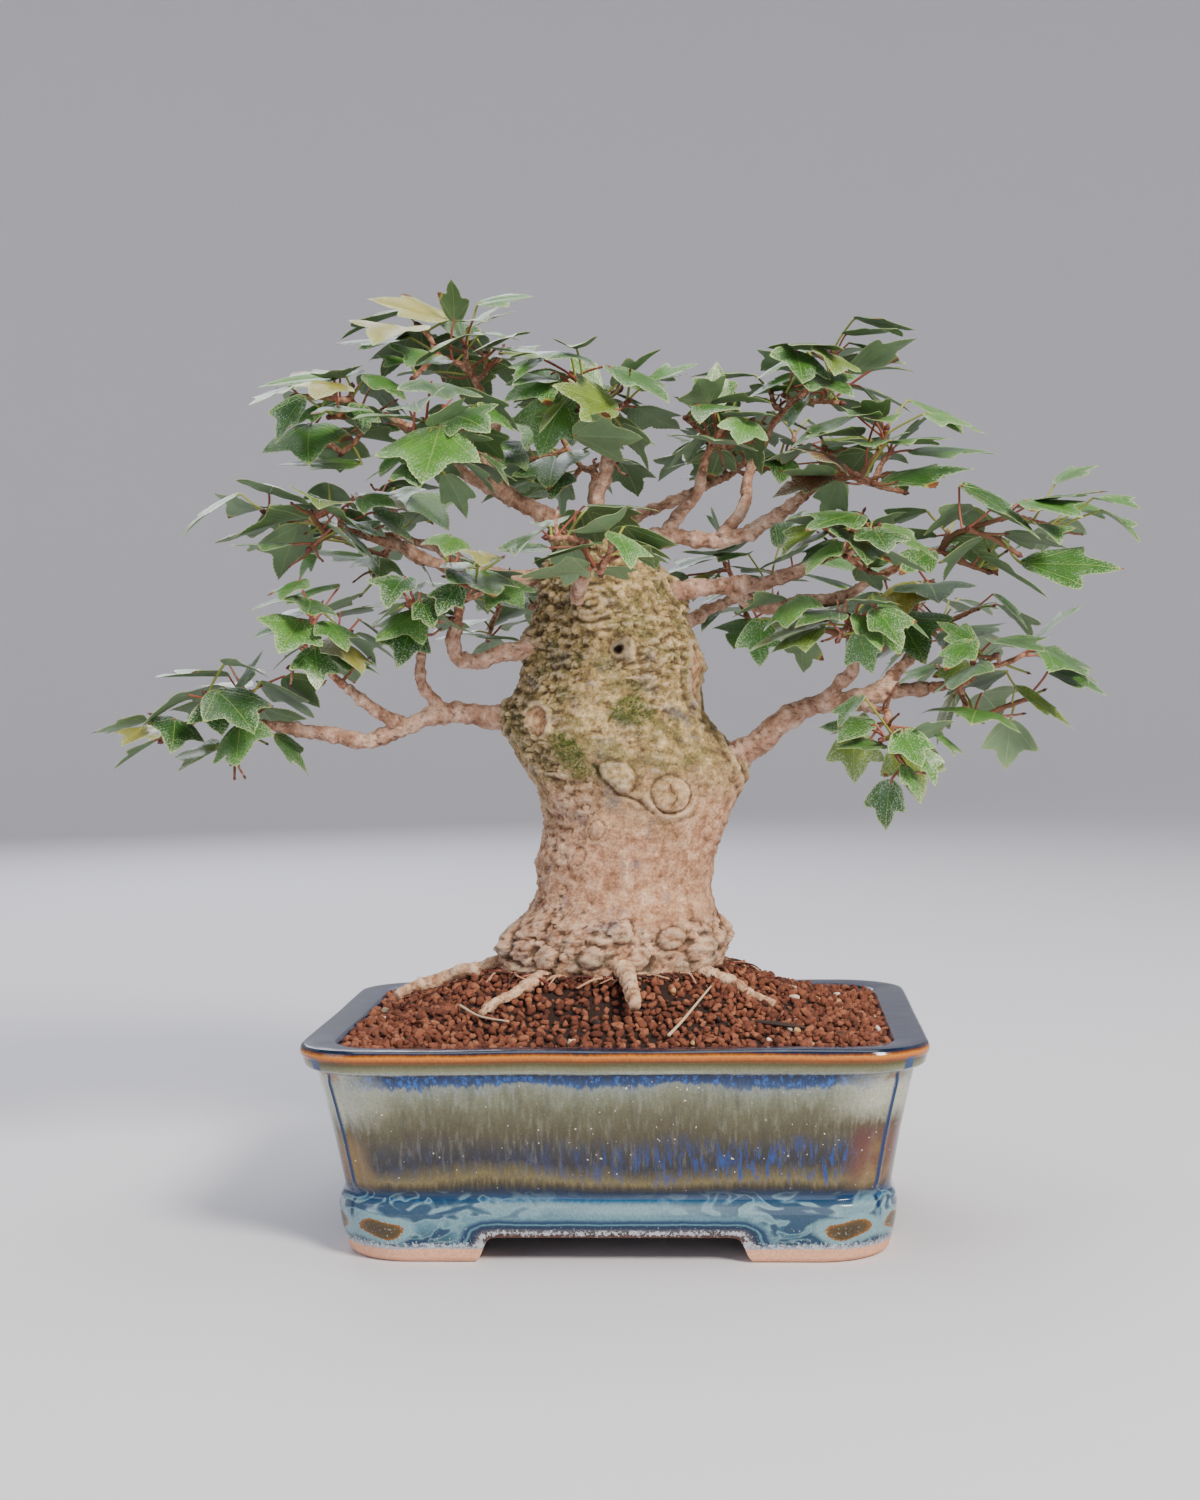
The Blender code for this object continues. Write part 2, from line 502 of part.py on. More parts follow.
def build_trunk(collection, name="trunk", grow=0.0, surface=None):
    """The trunk, from its flat cut on the soil to the sawn stub on top."""
    bottom, top = TRUNK_SECTIONS[0][0], TRUNK_SECTIONS[-1][0]
    bumps = trunk_bumps()
    rings = [trunk_ring(bottom + (top - bottom) * i / (TRUNK_RINGS - 1), bumps, grow)
             for i in range(TRUNK_RINGS)]
    if grow:
        rings.insert(0, [(x, y, z - grow) for x, y, z in rings[0]])
        rings.append([(x, y, z + grow) for x, y, z in rings[-1]])
    bm = bmesh.new()
    loft(bm, rings)
    return add_object(name, bm, collection, surface, 55.0)


def smooth_route(points, step):
    """Points at even steps along a smooth curve through a route's own points."""
    points = [np.array(point, float) for point in points]
    padded = [2 * points[0] - points[1], *points, 2 * points[-1] - points[-2]]
    dense = []
    for a, b, c, d in zip(padded, padded[1:], padded[2:], padded[3:]):
        for t in np.linspace(0, 1, 12, endpoint=False):
            dense.append(0.5 * (2 * b + (c - a) * t + (2 * a - 5 * b + 4 * c - d) * t ** 2
                                + (3 * b - a - 3 * c + d) * t ** 3))
    dense.append(points[-1])
    lengths = np.cumsum([0.0, *(np.linalg.norm(q - p) for p, q in zip(dense, dense[1:]))])
    count = max(2, round(lengths[-1] / step)) + 1
    marks = np.linspace(0, lengths[-1], count)
    return np.array([[np.interp(mark, lengths, [p[k] for p in dense]) for k in range(3)]
                     for mark in marks])


def limb_shape(route, thick, thin, seed):
    """A limb's bends and its radius at each, with knuckles and a slight wander."""
    rng = random.Random(seed)
    spine = smooth_route(route, LIMB_STEP)
    for point in spine[1:-1]:
        point += [rng.uniform(-LIMB_WANDER, LIMB_WANDER) for _ in range(3)]
    radii = []
    for i in range(len(spine)):
        share = i / (len(spine) - 1)
        swell = 1.0 + (BARK_SWELL * rng.uniform(-1, 1) if 0 < share < 1 else 0.0)
        radii.append((thick + (thin - thick) * share ** 0.8) / 2 * swell)
    return spine, radii


def limb_object(name, spine, radii, collection, surface=None, grow=0.0):
    """A tapering limb as a round tube with filled ends."""
    curve = bpy.data.curves.new(name, "CURVE")
    curve.dimensions = "3D"
    curve.bevel_depth = MM
    curve.bevel_resolution = LIMB_ROUNDNESS
    curve.use_fill_caps = True
    spline = curve.splines.new("POLY")
    spline.points.add(len(spine) - 1)
    for point, place, radius in zip(spline.points, spine, radii):
        point.co = (*(place * MM), 1.0)
        point.radius = radius + grow
    tube = bpy.data.objects.new(name, curve)
    collection.objects.link(tube)
    evaluated = tube.evaluated_get(bpy.context.evaluated_depsgraph_get())
    bm = bmesh.new()
    bm.from_mesh(bpy.data.meshes.new_from_object(evaluated))
    bpy.data.objects.remove(tube, do_unlink=True)
    bmesh.ops.remove_doubles(bm, verts=bm.verts, dist=1e-6)
    bmesh.ops.scale(bm, vec=(1 / MM, 1 / MM, 1 / MM), verts=bm.verts)
    return add_object(name, bm, collection, surface, 60.0)


def build_boughs(parts, cutters, trunk_cutter):
    """Every bough, each cut to lie 0.3 mm clear of the limb that it leaves."""
    surface = finish("bough_bark", YOUNG_BARK, 0.85)
    shapes = {}
    cutters_of = {"trunk": trunk_cutter}
    for i, (name, parent, thick, thin, route) in enumerate(BOUGHS):
        spine, radii = limb_shape(route, thick, thin, 100 + i)
        shapes[name] = (spine, radii)
        bough = limb_object(name, spine, radii, parts, surface)
        if parent not in cutters_of:
            grown = limb_object("room_for_" + parent, *shapes[parent], cutters, grow=GAP)
            hide_cutter(grown)
            cutters_of[parent] = grown
        cut(bough, cutters_of[parent])
    return shapes


def build_roots(parts, cutters, trunk_cutter):
    """Roots that lie half sunk on the soil, and the cutters for their beds in it."""
    surface = finish("root_bark", ROOT_BARK, 0.85)
    beds = []
    for i, (name, thick, thin, route) in enumerate(ROOTS):
        points = []
        for j, (x, y) in enumerate(route):
            thickness = thick + (thin - thick) * j / (len(route) - 1)
            rise = ROOT_RISE_AT_TRUNK if j == 0 else 0.0
            points.append((x, y, soil_height(x, y) + thickness * (0.5 - ROOT_SUNK) + rise))
        spine, radii = limb_shape(points, thick, thin, 300 + i)
        root = limb_object(name, spine, radii, parts, surface)
        cut(root, trunk_cutter)
        bed = limb_object("bed_of_" + name, spine, radii, cutters, grow=GAP)
        hide_cutter(bed)
        beds.append(bed)
    return beds


def unit(vector):
    """The vector at length 1."""
    return vector / max(1e-9, np.linalg.norm(vector))


def limb_segments(shapes):
    """Start, end and radius of every straight stretch of every bough, for clearances."""
    starts, ends, radii = [], [], []
    for spine, widths in shapes.values():
        for i in range(len(spine) - 1):
            starts.append(spine[i])
            ends.append(spine[i + 1])
            radii.append(max(widths[i], widths[i + 1]))
    return np.array(starts), np.array(ends), np.array(radii)


def clear_of_segments(points, segments, clearance):
    """True if all points lie outside every segment's radius and clearance."""
    starts, ends, radii = segments
    along = ends - starts
    length = np.maximum((along ** 2).sum(1), 1e-9)
    to_point = points[:, None, :] - starts[None]
    share = np.clip((to_point * along[None]).sum(2) / length, 0, 1)
    away = np.linalg.norm(to_point - share[..., None] * along[None], axis=2)
    return bool((away > radii + clearance).all())


def clear_of_trunk(points):
    """True if all points lie outside the trunk with its burrs."""
    heights = [row[0] for row in TRUNK_SECTIONS]
    left, right, deep = (np.interp(points[:, 2], heights, [row[i] for row in TRUNK_SECTIONS])
                         for i in (1, 2, 3))
    x = (points[:, 0] - (left + right) / 2) / ((right - left) / 2 + 5.5)
    y = (points[:, 1] - TRUNK_MIDDLE_DEPTH) / (deep + 5.5)
    over = points[:, 2] > heights[-1] + 3.0
    return bool(((x ** 2 + y ** 2 > 1) | over).all())


def space_shares(points, index):
    """How far points lie out in one mass's reach, and in the nearest other mass's."""
    middles = np.array([mass[2] for mass in MASSES], float)
    reaches = np.array([mass[3] for mass in MASSES], float)
    away = np.linalg.norm((points[:, None, :] - middles) / reaches, axis=2)
    return away[:, index], np.delete(away, index, axis=1).min(axis=1)


def twig_in_space(points, index):
    """True if a twig's points lie well inside its own mass's space."""
    own, other = space_shares(points, index)
    return bool((own < 1.0).all() and (own * TWIG_MARGIN < other).all())


def leaf_in_space(corners, index):
    """True if a blade lies mostly in its own mass's space."""
    own, other = space_shares(corners, index)
    middle_own, middle_other = space_shares(corners.mean(0)[None], index)
    return bool((own < BLADE_REACH).all() and (own < other * BLADE_OVERLAP).all()
                and middle_own[0] < middle_other[0])


def leaf_corners(leaf):
    """Outline of a blade from one side of its foot round to the other, in space."""
    length, width = leaf["length"], leaf["width"]
    axis, up = leaf["axis"], leaf["up"]
    side = np.cross(axis, up)
    droop, cup = leaf["droop"], leaf["cup"]
    rows = (
        (0.0, -BASE_ACROSS, 0.0),
        (LOBE_ALONG, -0.5, cup),
        (NOTCH_ALONG, -NOTCH_ACROSS, 0.1 * droop),
        (1.0, 0.0, droop),
        (NOTCH_ALONG, NOTCH_ACROSS, 0.1 * droop),
        (LOBE_ALONG, 0.5, cup),
        (0.0, BASE_ACROSS, 0.0),
    )
    return np.array([leaf["foot"] + axis * length * along + side * width * across
                     + up * length * lift for along, across, lift in rows])


def leaf_samples(leaf):
    """Points all over a blade and along its stalk, for tests of what it touches."""
    corners = leaf_corners(leaf)
    centre = leaf["foot"] + leaf["axis"] * leaf["length"] * 0.45
    found = []
    for a, b in zip(corners, np.roll(corners, -1, axis=0)):
        for i in range(SAMPLES + 1):
            for j in range(SAMPLES + 1 - i):
                s, t = i / SAMPLES, j / SAMPLES
                found.append(centre * (1 - s - t) + a * s + b * t)
    return np.array(found)


def stalk_samples(leaf):
    """Points along a leaf's stalk, from a little way off its twig."""
    return np.array([leaf["root"] + (leaf["foot"] - leaf["root"]) * t
                     for t in np.linspace(0.25, 1.0, 8)])


def make_leaf(root, foot, axis, up_hint, length, width, droop, cup):
    """One leaf's facts: its stalk from root to foot, and its blade from there."""
    axis = unit(axis)
    up = unit(up_hint - axis * np.dot(up_hint, axis))
    return {"root": root, "foot": foot, "axis": axis, "up": up, "length": length,
            "width": width, "droop": droop, "cup": cup}


def fits(leaf, crown, index):
    """True if a leaf keeps to its mass's space and touches no limb, twig or other leaf."""
    corners = leaf_corners(leaf)
    if not leaf_in_space(corners, index) or not clear_of_trunk(corners):
        return False
    blade = leaf_samples(leaf)
    both = np.vstack((blade, stalk_samples(leaf)))
    if not clear_of_trunk(both) or not clear_of_segments(both, crown["limbs"], LIMB_CLEARANCE):
        return False
    if not clear_of_segments(both, crown["twigs_beside"][index], LEAF_CLEARANCE):
        return False
    if not clear_of_segments(blade, crown["own_twigs"][index], LEAF_CLEARANCE / 2):
        return False
    middle = both.mean(0)
    spread = np.linalg.norm(both - middle, axis=1).max()
    for other_middle, other_spread, other_points in crown["leaves"]:
        if np.linalg.norm(other_middle - middle) > spread + other_spread + LEAF_CLEARANCE:
            continue
        away = np.linalg.norm(both[:, None] - other_points[None], axis=2)
        if away.min() < LEAF_CLEARANCE:
            return False
    crown["leaves"].append((middle, spread, both))
    return True


def shoot_ends(rng, index, tip, count):
    """Places for the ends of shoots, spread evenly through a mass's space."""
    middle, reach = (np.array(MASSES[index][k], float) for k in (2, 3))
    chosen = [tip]
    for _ in range(count):
        best, best_away = None, -1.0
        for _ in range(40):
            way = unit(np.array([rng.gauss(0, 1) for _ in range(3)]))
            place = middle + reach * way * rng.uniform(0.15, 0.62) - UP * reach[2] * 0.12
            if not twig_in_space(place[None], index) or not clear_of_trunk(place[None]):
                continue
            away = min(np.linalg.norm((place - other) / reach) for other in chosen)
            if away > best_away:
                best, best_away = place, away
        if best is not None:
            chosen.append(best)
    return chosen[1:]


def grow_twigs(rng, index, tip, way, thickness, targets, segments):
    """A stem from the bough's tip, and from it twigs that branch to each target."""
    start = tip + way * GAP * 1.4
    middle = np.array(MASSES[index][2], float)
    neck = start + way * 5.0
    heart = neck + (middle - neck) * 0.45
    stem = [start, neck, (neck + heart) / 2 + [rng.uniform(-1, 1) for _ in range(3)], heart]
    twigs = [(stem, thickness * 0.46, TWIG_RADIUS * 1.3)]
    nodes = [neck, stem[2], heart]
    for target in sorted(targets, key=lambda place: np.linalg.norm(place - start)):
        near = sorted(nodes, key=lambda node: np.linalg.norm(node - target)
                      + 0.25 * np.linalg.norm(node - start))
        for node in near[:4]:
            bend = (node + target) / 2 + np.array([rng.uniform(-2, 2) for _ in range(3)])
            line = [node, bend, target]
            checks = np.array([node + (bend - node) * t for t in (0.4, 0.7, 1.0)]
                              + [bend + (target - bend) * t for t in (0.25, 0.5, 0.75, 1.0)])
            if clear_of_segments(checks, segments, LIMB_CLEARANCE + 0.5) \
                    and clear_of_trunk(checks) and twig_in_space(checks[1:], index):
                twigs.append((line, TWIG_RADIUS * 1.25, TWIG_RADIUS))
                nodes += [bend, target]
                break
    return twigs


def outer_leaves(index, twigs):
    """The leaves that stand out of this mass, each with its stalk from the nearest twig."""
    made = []
    nodes = [line[-1] + (line[-2] - line[-1]) * share
             for line, _, _ in twigs for share in (0.3, 0.6)]
    for mass, foot, point, wide, facing in OUTER_LEAVES:
        if mass != MASSES[index][0]:
            continue
        foot, point = np.array(foot, float), np.array(point, float)
        root = min(nodes, key=lambda node: np.linalg.norm(node - foot))
        length = np.linalg.norm(point - foot)
        made.append(make_leaf(root, foot, point - foot, np.array(facing), length,
                              length * wide, -0.06, -0.05))
    return made


def grow_leaves(index, twigs, crown):
    """Opposite pairs of leaves at each shoot's end, then along the shoots."""
    rng = random.Random(MASSES[index][6] * 7)
    wanted = MASSES[index][5]
    middle = np.array(MASSES[index][2], float)
    placed = [leaf for leaf in outer_leaves(index, twigs) if fits(leaf, crown, index)]
    shoots = [line for line, _, _ in twigs[1:]] or [twigs[0][0]]
    for attempt in range(wanted * TRIES):
        if len(placed) >= wanted:
            break
        line = shoots[attempt % len(shoots)]
        pair = attempt // len(shoots)
        back_along = unit(line[-2] - line[-1])
        root = line[-1] + back_along * (LEAF_JOINT_FIRST + LEAF_JOINT_STEP * (pair % LEAF_JOINTS))
        outward = unit((line[-1] - middle) * [1, 1, 0] + [1e-3, 0, 0])
        turn = math.radians((-1) ** pair * abs(rng.gauss(0, 1)) * 75.0)
        heading = np.array([outward[0] * math.cos(turn) - outward[1] * math.sin(turn),
                            outward[0] * math.sin(turn) + outward[1] * math.cos(turn), 0.0])
        stalk = rng.uniform(*STALK_LENGTHS)
        foot = root + unit(heading + UP * rng.uniform(-0.3, 1.4)) * stalk
        axis = heading + UP * rng.uniform(-0.6, 0.15)
        tilt = np.array([rng.uniform(-0.45, 0.45), rng.uniform(-0.45, 0.25), 1.0])
        length = rng.triangular(*LEAF_LENGTHS)
        leaf = make_leaf(root, foot, axis, tilt, length, length * rng.uniform(*LEAF_WIDTHS),
                         rng.uniform(-0.22, 0.03), rng.uniform(-0.16, 0.08))
        if fits(leaf, crown, index):
            placed.append(leaf)
    return placed


def grow_crown(shapes):
    """Twigs and leaves of every mass: all twigs first, so that leaves can keep clear."""
    limbs = limb_segments(shapes)
    all_twigs = []
    for index, (_, bough, _, _, shoots, _, seed) in enumerate(MASSES):
        rng = random.Random(seed)
        spine, radii = shapes[bough]
        tip, way = spine[-1], unit(spine[-1] - spine[-2])
        targets = shoot_ends(rng, index, tip, shoots)
        all_twigs.append(grow_twigs(rng, index, tip, way, 2 * radii[-1], targets, limbs))
    own = [limb_segments({i: (np.array(line), [thick] * len(line))
                          for i, (line, thick, _) in enumerate(twigs)}) for twigs in all_twigs]
    beside = [tuple(np.concatenate([own[i][k] for i in range(len(own)) if i != index])
                    for k in range(3)) for index in range(len(own))]
    crown = {"limbs": limbs, "own_twigs": own, "twigs_beside": beside, "leaves": []}
    return [(twigs, grow_leaves(index, twigs, crown)) for index, twigs in enumerate(all_twigs)]


def three_sided(place, way, radius):
    """A triangle round a line, for twigs and stalks."""
    side = unit(np.cross(way, UP if abs(way[2]) < 0.9 else np.array([1.0, 0.0, 0.0])))
    over = np.cross(side, way)
    return [place + radius * (side * math.cos(a) + over * math.sin(a))
            for a in (math.radians(90), math.radians(210), math.radians(330))]


def twig_body(line, thick, thin):
    """A three-sided twig."""
    bm = bmesh.new()
    rings = []
    for i, point in enumerate(line):
        way = unit(line[min(i + 1, len(line) - 1)] - line[max(i - 1, 0)])
        radius = thick + (thin - thick) * i / (len(line) - 1)
        rings.append(three_sided(point, way, radius))
    loft(bm, rings)
    return bm


def leaf_body(leaf):
    """A leaf as one closed body: a three-sided stalk that opens into a thin blade."""
    bm = bmesh.new()
    up, axis = leaf["up"], leaf["axis"]
    side = np.cross(axis, up)
    rim = [bm.verts.new(tuple(corner)) for corner in leaf_corners(leaf)]
    below = bm.verts.new(tuple(leaf["foot"] - up * FOOT_DEPTH))
    start = [bm.verts.new(tuple(leaf["root"] + offset * STALK_RADIUS)) for offset in
             (-side + up * 0.5, side + up * 0.5, -up)]
    end = [rim[0], rim[-1], below]
    bm.faces.new(start)
    for i in range(3):
        j = (i + 1) % 3
        bm.faces.new((start[i], start[j], end[j], end[i]))
    for a, b in zip(rim[1:], rim[2:]):
        bm.faces.new((rim[0], a, b))
    for a, b in zip(rim, rim[1:]):
        bm.faces.new((below, b, a))
    bmesh.ops.triangulate(bm, faces=bm.faces)
    return bm


def largest_body(mesh):
    """Keep the largest joined body of a mesh, without scraps and sealed hollows."""
    bm = bmesh.new()
    bm.from_mesh(mesh)
    bmesh.ops.triangulate(bm, faces=bm.faces)
    left = set(bm.faces)
    bodies = []
    while left:
        body, edge = [], [left.pop()]
        while edge:
            face = edge.pop()
            body.append(face)
            beside = {link for side in face.edges if len(side.link_faces) == 2
                      for link in side.link_faces}
            for other in beside & left:
                left.remove(other)
                edge.append(other)
        bodies.append(body)
    bodies.sort(key=len)
    for body in bodies[:-1]:
        bmesh.ops.delete(bm, geom=body, context="FACES")
    bm.to_mesh(mesh)
    bm.free()


def build_mass(index, twigs, leaves, parts, surface):
    """One mass of leaves: twigs and leaves joined into one body by a single union."""
    name = MASSES[index][0]
    pieces = new_collection("pieces_of_" + name)
    for i, (line, thick, thin) in enumerate(twigs[1:]):
        add_object(f"{name}_twig_{i}", twig_body(line, thick, thin), pieces)
    for i, leaf in enumerate(leaves):
        add_object(f"{name}_leaf_{i}", leaf_body(leaf), pieces)
    mass = add_object(name, twig_body(*twigs[0]), parts, surface, 30.0)
    join = mass.modifiers.new("join", "BOOLEAN")
    join.operation = "UNION"
    join.operand_type = "COLLECTION"
    join.collection = pieces
    join.solver = "MANIFOLD"
    joined = bpy.data.meshes.new_from_object(
        mass.evaluated_get(bpy.context.evaluated_depsgraph_get()))
    mass.modifiers.clear()
    mass.data = joined
    mass.data.materials.clear()
    mass.data.materials.append(surface)
    largest_body(mass.data)
    for piece in list(pieces.objects):
        bpy.data.objects.remove(piece, do_unlink=True)
    bpy.data.collections.remove(pieces)
    return len(leaves)


def stand_on_origin(parts):
    """Hang every part on one empty, and move that so the box's foot is at the origin."""
    bpy.context.view_layer.update()
    corners = [thing.matrix_world @ Vector(corner) for thing in parts.objects
               for corner in thing.bound_box]
    low = [min(corner[k] for corner in corners) for k in range(3)]
    high = [max(corner[k] for corner in corners) for k in range(3)]
    stand = bpy.data.objects.new("stand", None)
    bpy.context.scene.collection.objects.link(stand)
    for thing in [*parts.objects, *bpy.data.collections["cutters"].objects]:
        thing.parent = stand
    stand.location = (-(low[0] + high[0]) / 2, -(low[1] + high[1]) / 2, -low[2])


def main():
    """Build the whole plant in its pot."""
    clear_scene()
    parts = new_collection("potted_trident_maple")
    cutters = new_collection("cutters")
    build_pot(parts, cutters)
    build_trunk(parts, surface=finish("trunk_bark", BARK, 0.9))
    trunk_cutter = build_trunk(cutters, "room_for_trunk", GAP)
    hide_cutter(trunk_cutter)
    build_soil(parts, build_roots(parts, cutters, trunk_cutter))
    shapes = build_boughs(parts, cutters, trunk_cutter)
    surface = finish("maple_leaves", LEAF_GREEN, 0.5)
    for index, (twigs, leaves) in enumerate(grow_crown(shapes)):
        count = build_mass(index, twigs, leaves, parts, surface)
        print(MASSES[index][0], "leaves", count, "faces",
              len(parts.objects[MASSES[index][0]].data.polygons))
    stand_on_origin(parts)


main()
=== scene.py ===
"""Potted trident maple bonsai: its looks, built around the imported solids.

A thick scarred trunk stands on clay granules in a glazed stoneware pot. Crooked boughs carry
twigs, and the twigs carry three-lobed leaves on thin stalks. Lengths are in millimetres, measured
from the middle of the pot, with the ground at height 0, +X to the right and +Y to the back. They
turn to metres when a mesh is made.
"""

import math
import random
from functools import partial, reduce

import bmesh
import bpy
import numpy as np
from mathutils import Matrix, Vector, geometry, noise


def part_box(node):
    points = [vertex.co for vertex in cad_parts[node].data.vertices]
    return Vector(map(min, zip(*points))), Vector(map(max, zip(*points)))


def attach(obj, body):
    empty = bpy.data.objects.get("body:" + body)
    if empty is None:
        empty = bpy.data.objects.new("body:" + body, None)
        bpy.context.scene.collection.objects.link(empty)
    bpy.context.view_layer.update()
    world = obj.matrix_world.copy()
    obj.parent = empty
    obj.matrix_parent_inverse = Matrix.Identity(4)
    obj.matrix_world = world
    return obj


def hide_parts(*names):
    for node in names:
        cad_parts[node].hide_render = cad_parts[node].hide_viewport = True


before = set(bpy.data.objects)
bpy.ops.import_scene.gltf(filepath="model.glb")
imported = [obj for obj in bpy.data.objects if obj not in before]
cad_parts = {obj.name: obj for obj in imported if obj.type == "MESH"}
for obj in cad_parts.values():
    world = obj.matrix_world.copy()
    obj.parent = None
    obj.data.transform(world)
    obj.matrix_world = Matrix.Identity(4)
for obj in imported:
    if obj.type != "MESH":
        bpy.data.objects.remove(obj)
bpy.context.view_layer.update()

MM = 0.001
UP = np.array([0.0, 0.0, 1.0])
POT_LOW, POT_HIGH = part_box("pot")
POT_CENTRE = np.array([(POT_LOW[0] + POT_HIGH[0]) / 2, (POT_LOW[1] + POT_HIGH[1]) / 2, 0.0])

# Pot: (height, width) of its outer rings from the feet to the rim, then of its inner ones
POT_OUTSIDE = (
    (0, 171), (0.5, 173.4), (1.6, 175), (8.5, 178.4), (12.5, 179.6), (16, 180),
    (18.6, 179.2), (20.4, 177), (22, 176.6), (30, 179.2), (40, 182.6), (50, 186.6),
    (60.2, 191), (61.4, 192.6), (61.8, 196), (62.6, 197.6), (64, 198.2), (65.6, 198.9),
    (66.2, 199.9), (67.4, 200.2), (68.6, 199.4), (69.3, 197.8), (69.4, 194),
)
POT_INSIDE = ((69, 182), (68.8, 178.6), (67.6, 176.6), (60, 174))
POT_DEPTH_LESS = 45.0
POT_WIDTH = 200.0
CORNER_RADIUS = 22.0
RIDGE_HEIGHT = 1.1
RIDGE_WIDTH = 1.3
RIDGE_HEIGHTS = (21.5, 60.8)
FOOT_HEIGHT = 8.5
FOOT_GAP_FRONT = 82.0
FOOT_GAP_SIDE = 56.0
FOOT_WALL = 14.0
# Ends of the gap between two feet: how far out from its half-width, and height
GAP_SLOPE = ((4.2, -1), (3.6, 0), (2.2, 0.9), (1.2, 2.4), (0.2, 5), (-0.9, 7.2), (-2.4, 8.3),
             (-4.2, FOOT_HEIGHT))
FLOOR_HEIGHT = 16.0

# Glaze: (height, colour) up the pot, and (distance from a gap between feet, colour). The heights also
# hold painted shade and a painted highlight under the lip.
GLAZE_TOP = 72.0
INSIDE_HEIGHT = 70.0  # the height whose colour the inside takes
GLAZE_WITH_PAINTED_LIGHT_BY_HEIGHT = (
    (4.3, "#d9a283"), (4.9, "#8f9aa2"), (6, "#23404f"), (8.5, "#2f5566"), (12, "#4a7280"),
    (17, "#6a8a95"), (19, "#6f8a92"), (20.2, "#1c5276"), (21.4, "#0a2745"), (22.8, "#081a30"),
    (24.2, "#332d1e"), (26.3, "#6a5f3a"), (28.8, "#4c4530"), (31.5, "#25242a"), (35.5, "#2f2d2c"),
    (42, "#49442f"), (48.5, "#57563f"), (53.5, "#6c705c"), (56.6, "#777e78"), (57.8, "#213c66"),
    # At 61 a near-black stop paints shade under the lip's overhang, and the pale stop at 61.7 paints a
    # highlight on the lip's lower curve.
    (60.4, "#12294f"), (61, "#070f1c"), (61.7, "#aeb2a8"), (62.8, "#72745a"), (64.8, "#46431f"),
    (65.7, "#6b3c0e"), (66.6, "#a4560c"), (67.4, "#c47a22"), (68.1, "#6a360c"), (68.6, "#0a1a33"),
    (71.5, "#0e2344"),
)
EDGE_REACH = 8.0
GLAZE_BY_EDGE = (
    (0, "#4b2c20"), (1.2, "#33221d"), (2.3, "#4a4a50"), (3, "#0e2440"), (3.8, "#0f2a48"),
    (4.2, "#4f7f8c"), (4.6, "#0f2c48"), (5.1, "#14395a"), (6.2, "#5a808c"),
)

# Soil
SOIL_EDGE_HEIGHT = 68.4
SOIL_EDGE_WIDTH = 175.4
TRUNK_CUT_HEIGHT = 84.0
SOIL_PLATEAU = (46, 35)
SOIL_SLOPE = 1.9
SOIL_LUMPS = 1.7  # unevenness of the granules
SOIL_LUMP_SIZE = 11.0
BED_SUNK = 1.6  # how far the dark bed lies under the mound
GRANULE_SIZES = (1.1, 2.1, 1.45)  # least, most, usual
GRANULE_TRIES = 34000
# Layers of granules: piece, least distance apart, share kept, height over the mound
LAYERS = (("granules_below", 2.35, 1, -1.1), ("granules_above", 2.585, 0.85, -0.2))
AKADAMA = ("#74422f", "#7f4a35", "#663726", "#8a543d", "#572e20", "#7a4631", "#965f44", "#6d3c2a")
ODD_BITS = ("#c79b6a", "#e2d3bd", "#3d302c", "#b9a58c")
# Litter: a strip of bark, and dry stems with their thickness first
BARK_STRIP = ((44, -41, 72.6), (50, -43, 72.3), (57, -44.5, 71.6), (62, -46, 71))
STRIP_FLATNESS = 0.45
DRY_STEMS = (
    (0.55, (18, -60, 71.2), (22, -48, 73.8), (27, -34, 78), (31, -24, 81.5)),
    (0.45, (-52, -30, 76.6), (-44, -40, 74.4), (-34, -46, 73.6)),
    (0.5, (60, 20, 74.6), (52, 34, 74.4), (48, 44, 73)),
)

# Trunk: (height, left edge, right edge, half depth)
TRUNK_MIDDLE_DEPTH = 12.0
TRUNK_SECTIONS = (
    (84, -43, 34, 31), (91, -41, 34.5, 31), (98, -38, 33, 30),
    (105, -31, 31.5, 27), (113, -29.5, 31, 26), (122, -29, 33.5, 26.5),
    (130, -26, 36, 27), (138, -26, 38, 27.5), (146, -29.5, 41, 28.5),
    (152, -33, 42, 29), (158, -36, 37.5, 28.5), (166, -38.5, 32.5, 27.5),
    (174, -38, 28.5, 26), (182, -34.5, 28, 25), (190, -33, 29, 24),
    (198, -32, 25.5, 22.5), (206, -29.5, 23.5, 20.5), (214, -25.5, 20, 18),
    (222, -23.5, 15, 15), (230, -22, 10.5, 12), (236, -20, 4, 9),
    (240, -18, -5, 5.5),
)
TRUNK = np.array(TRUNK_SECTIONS)
FOOT_MIDDLE = np.array([(TRUNK[0, 1] + TRUNK[0, 2]) / 2, TRUNK_MIDDLE_DEPTH])
TRUNK_BURIED = 3.0
TRUNK_ROWS = 320
TRUNK_SIDES = 300
# Scars, knots and burrs: (angle from +X, height, spread, bulge)
TRUNK_SCARS = (
    (291, 145, 7, 2.6), (262, 150, 5.5, 2.8), (282, 193, 5, -2.2),
    (228, 170, 6.5, 2.2), (248, 133, 5, 1.6), (240, 124, 4.5, 1.4),
    (338, 185, 7, 1.8), (318, 90, 7.5, 4), (214, 94, 8, 4),
    (255, 205, 7, 2.4), (60, 140, 9, 3), (110, 172, 8, 2.6),
    (95, 120, 6, 2), (30, 200, 6, 1.8),
)
